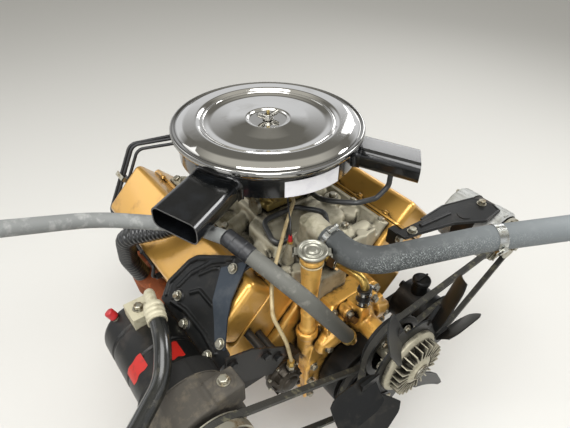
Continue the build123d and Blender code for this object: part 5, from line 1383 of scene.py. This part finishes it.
# Vacuum hoses: small black rubber hoses, pinched by springs of bent wire where
# they sit on their nipples.
vacuum_rubber = finish("greyed vacuum hose rubber", "#343535", "#4B4B48", "#1B1A18", depth=0.05,
    cover=0.4, Roughness=0.36)
paint(vacuum_rubber, "vacuum_hoses")
springs = bmesh.new()
SPRING_PLACES = (
    # place on the hose, and the way it runs
    ((2, -503, 306), UP),
    ((-18.7, -390.4, 312), (0.589, 0.808, 0)),
    ((56, -380, 336), REAR),
)
for place, way in SPRING_PLACES:
    where = at(place) @ along(way)
    for height in (-2.2, 2.2):
        loop = [(6.2 + x, height + y) for x, y in round_wire(0.9, 8)]
        lathe_into(springs, loop, place, along(way), 32)
    for side in (-1, 1):
        ends = [put(where, reach, side * off, side * 2.2) for reach, off in ((6.4, 1.5), (12.5, 4.0))]
        rod_into(springs, *ends, 0.9, sides=10)
fit("hose_springs", springs, dull_steel, sharp=50)


# Starter motor: a black steel drum with a cast nose on the gearbox flange, and
# a solenoid with two studs beside it.
paint(satin_black, "starter")
starter = lathe_into(bmesh.new(), eased([(0, 234), (46, 234), (47, 238), (40, 244), (14, 245),
    (12, 250), (0, 250)], 2), (-146, 0, -130), to_front, 64)
lathe_into(starter, eased([(0, 70), (24, 70), (26, 74), (26, 150), (24, 154), (0, 154)], 2),
    (-196, 0, -112), to_front, 48)
fit("starter_ends", starter, satin_black)
starter_studs = bmesh.new()
for x in (-206, -186):
    rod_into(starter_studs, (x, -153, -112), (x, -166, -112), 4)
    bolt_into(starter_studs, (x, -154, -112), FRONT, 11, 5)
fit("starter_studs", starter_studs, dull_steel)


# Oil filter: a spin-on steel can, black, with a rolled seam at its foot and
# flats at its end.
OIL_FILTER = (-204, 0, -30)
filter_profile = [(0, -478), (46.0, -478), (46.0, -474), (44.5, -472), (45.2, -470), (45.2, -388),
    (43, -378), (36, -370), (20, -368), (0, -368)]
filter_can = lathe_into(bmesh.new(), eased(filter_profile, 2.5), OIL_FILTER, turned_by(-90, "X"), 72)
for spin in spins(15, OIL_FILTER):
    box_into(filter_can, (38, -396, -5), (45.6, -376, 5), spin)
box_into(filter_can, (-234, -494, -60), (-152, -478, 0))
fit("oil_filter_can", filter_can, satin_black, ["oil_filter"], sharp=34)


# Warm air duct: a corrugated paper and foil tube, black, pushed over the
# stubs of the exhaust manifold and the snorkel.
def route(points, bends, step=2.0):
    """Evenly spaced places along straight runs joined by round bends."""
    points = [Vector(p) for p in points]
    corners = [points[0]]
    for i in range(1, len(points) - 1):
        back = (points[i - 1] - points[i]).normalized()
        on = (points[i + 1] - points[i]).normalized()
        half = back.angle(on) / 2
        turn = math.pi - 2 * half
        reach = bends[i - 1] / math.tan(half)
        centre = points[i] + (back + on).normalized() * bends[i - 1] / math.sin(half)
        a = points[i] + back * reach - centre
        b = points[i] + on * reach - centre
        for k in range(17):
            t = k / 16
            spot = (a * math.sin((1 - t) * turn) + b * math.sin(t * turn)) / math.sin(turn)
            corners.append(centre + spot)
    corners.append(points[-1])
    out = [corners[0]]
    left = step
    for a, b in zip(corners, corners[1:]):
        length = (b - a).length
        while left < length:
            out.append(a + (b - a) * left / length)
            left += step
        left -= length
    out.append(corners[-1])
    return out


def tube_into(bm, path, radius, sides=24):
    """A tube along a path. Radius is one value, or a function of the distance."""
    rings = []
    normal = None
    gone = 0.0
    for i, place in enumerate(path):
        way = (path[min(i + 1, len(path) - 1)] - path[max(i - 1, 0)]).normalized()
        if normal is None:
            normal = way.orthogonal().normalized()
        normal = (normal - way * normal.dot(way)).normalized()
        across = way.cross(normal)
        gone += (place - path[i - 1]).length if i else 0.0
        r = radius(gone) if callable(radius) else radius
        ring = []
        for k in range(sides):
            angle = 2 * math.pi * k / sides
            spot = place + (normal * math.cos(angle) + across * math.sin(angle)) * r
            ring.append(bm.verts.new(spot / 1000))
        rings.append(ring)
    for low, high in zip(rings, rings[1:]):
        for k in range(sides):
            j = (k + 1) % sides
            bm.faces.new((low[k], low[j], high[j], high[k]))
    bm.faces.new(rings[0])
    bm.faces.new(rings[-1])
    return bm


duct_points = [(-225, -353, 422.7), (-225, -353, 379.7), (-272.236, -300, 335.876),
    (-341.532, -240, 306.177), (-334.04, -196, 206.02), (-312.04, -196, 144.02)]
duct = tube_into(bmesh.new(), route(duct_points, [34, 40, 46, 50], 1.5),
    lambda gone: 20.2 + 1.0 * math.cos(2 * math.pi * gone / 9.0), 40)
duct_paper = finish("black corrugated duct", "#121314", "#262726", "#100F0E", cover=0.35,
    Roughness=0.32, Coat_Weight=0.3, Coat_Roughness=0.12)
fit("corrugated_duct", duct, duct_paper, ["warm_air_duct"], sharp=60)


# Temperature sender: it stands in a cast boss on the manifold, with a yellow
# plated hexagon and a red terminal. Its wire runs up to a clip under the air
# cleaner.
SENDER = Vector((-96.0, -497.0, 344.0))
CLEANER_LOW = 424.0
stand = rod_into(bmesh.new(), SENDER + Vector((-5, 0, -58)), SENDER, 16, 6.5)
fit("sender_stand", stand, weathered_casting, sharp=60)
sender = rod_into(bmesh.new(), SENDER - Vector(UP), SENDER + Vector((0, 0, 6)), 6.4, sides=6)
fit("sender_hexagon", sender, zinc_yellow)
terminal = rod_into(bmesh.new(), SENDER + Vector((0, 0, 5)), SENDER + Vector((0, 0, 19)), 4.8, 3.6)
fit("sender_terminal", terminal, red_plastic)
sender_wire = tube_into(bmesh.new(), route([SENDER + Vector((0, 0, 17)), SENDER + Vector((0, 0, 40)),
    (-60, -440, CLEANER_LOW - 18), (-46, -398, CLEANER_LOW - 16), (-46, -384, CLEANER_LOW - 1)],
    [14, 20, 8]), 1.7, 10)
box_into(sender_wire, (-51, -390, CLEANER_LOW - 4), (-41, -376, CLEANER_LOW + 0.5))
fit("sender_wire", sender_wire, lead_rubber)
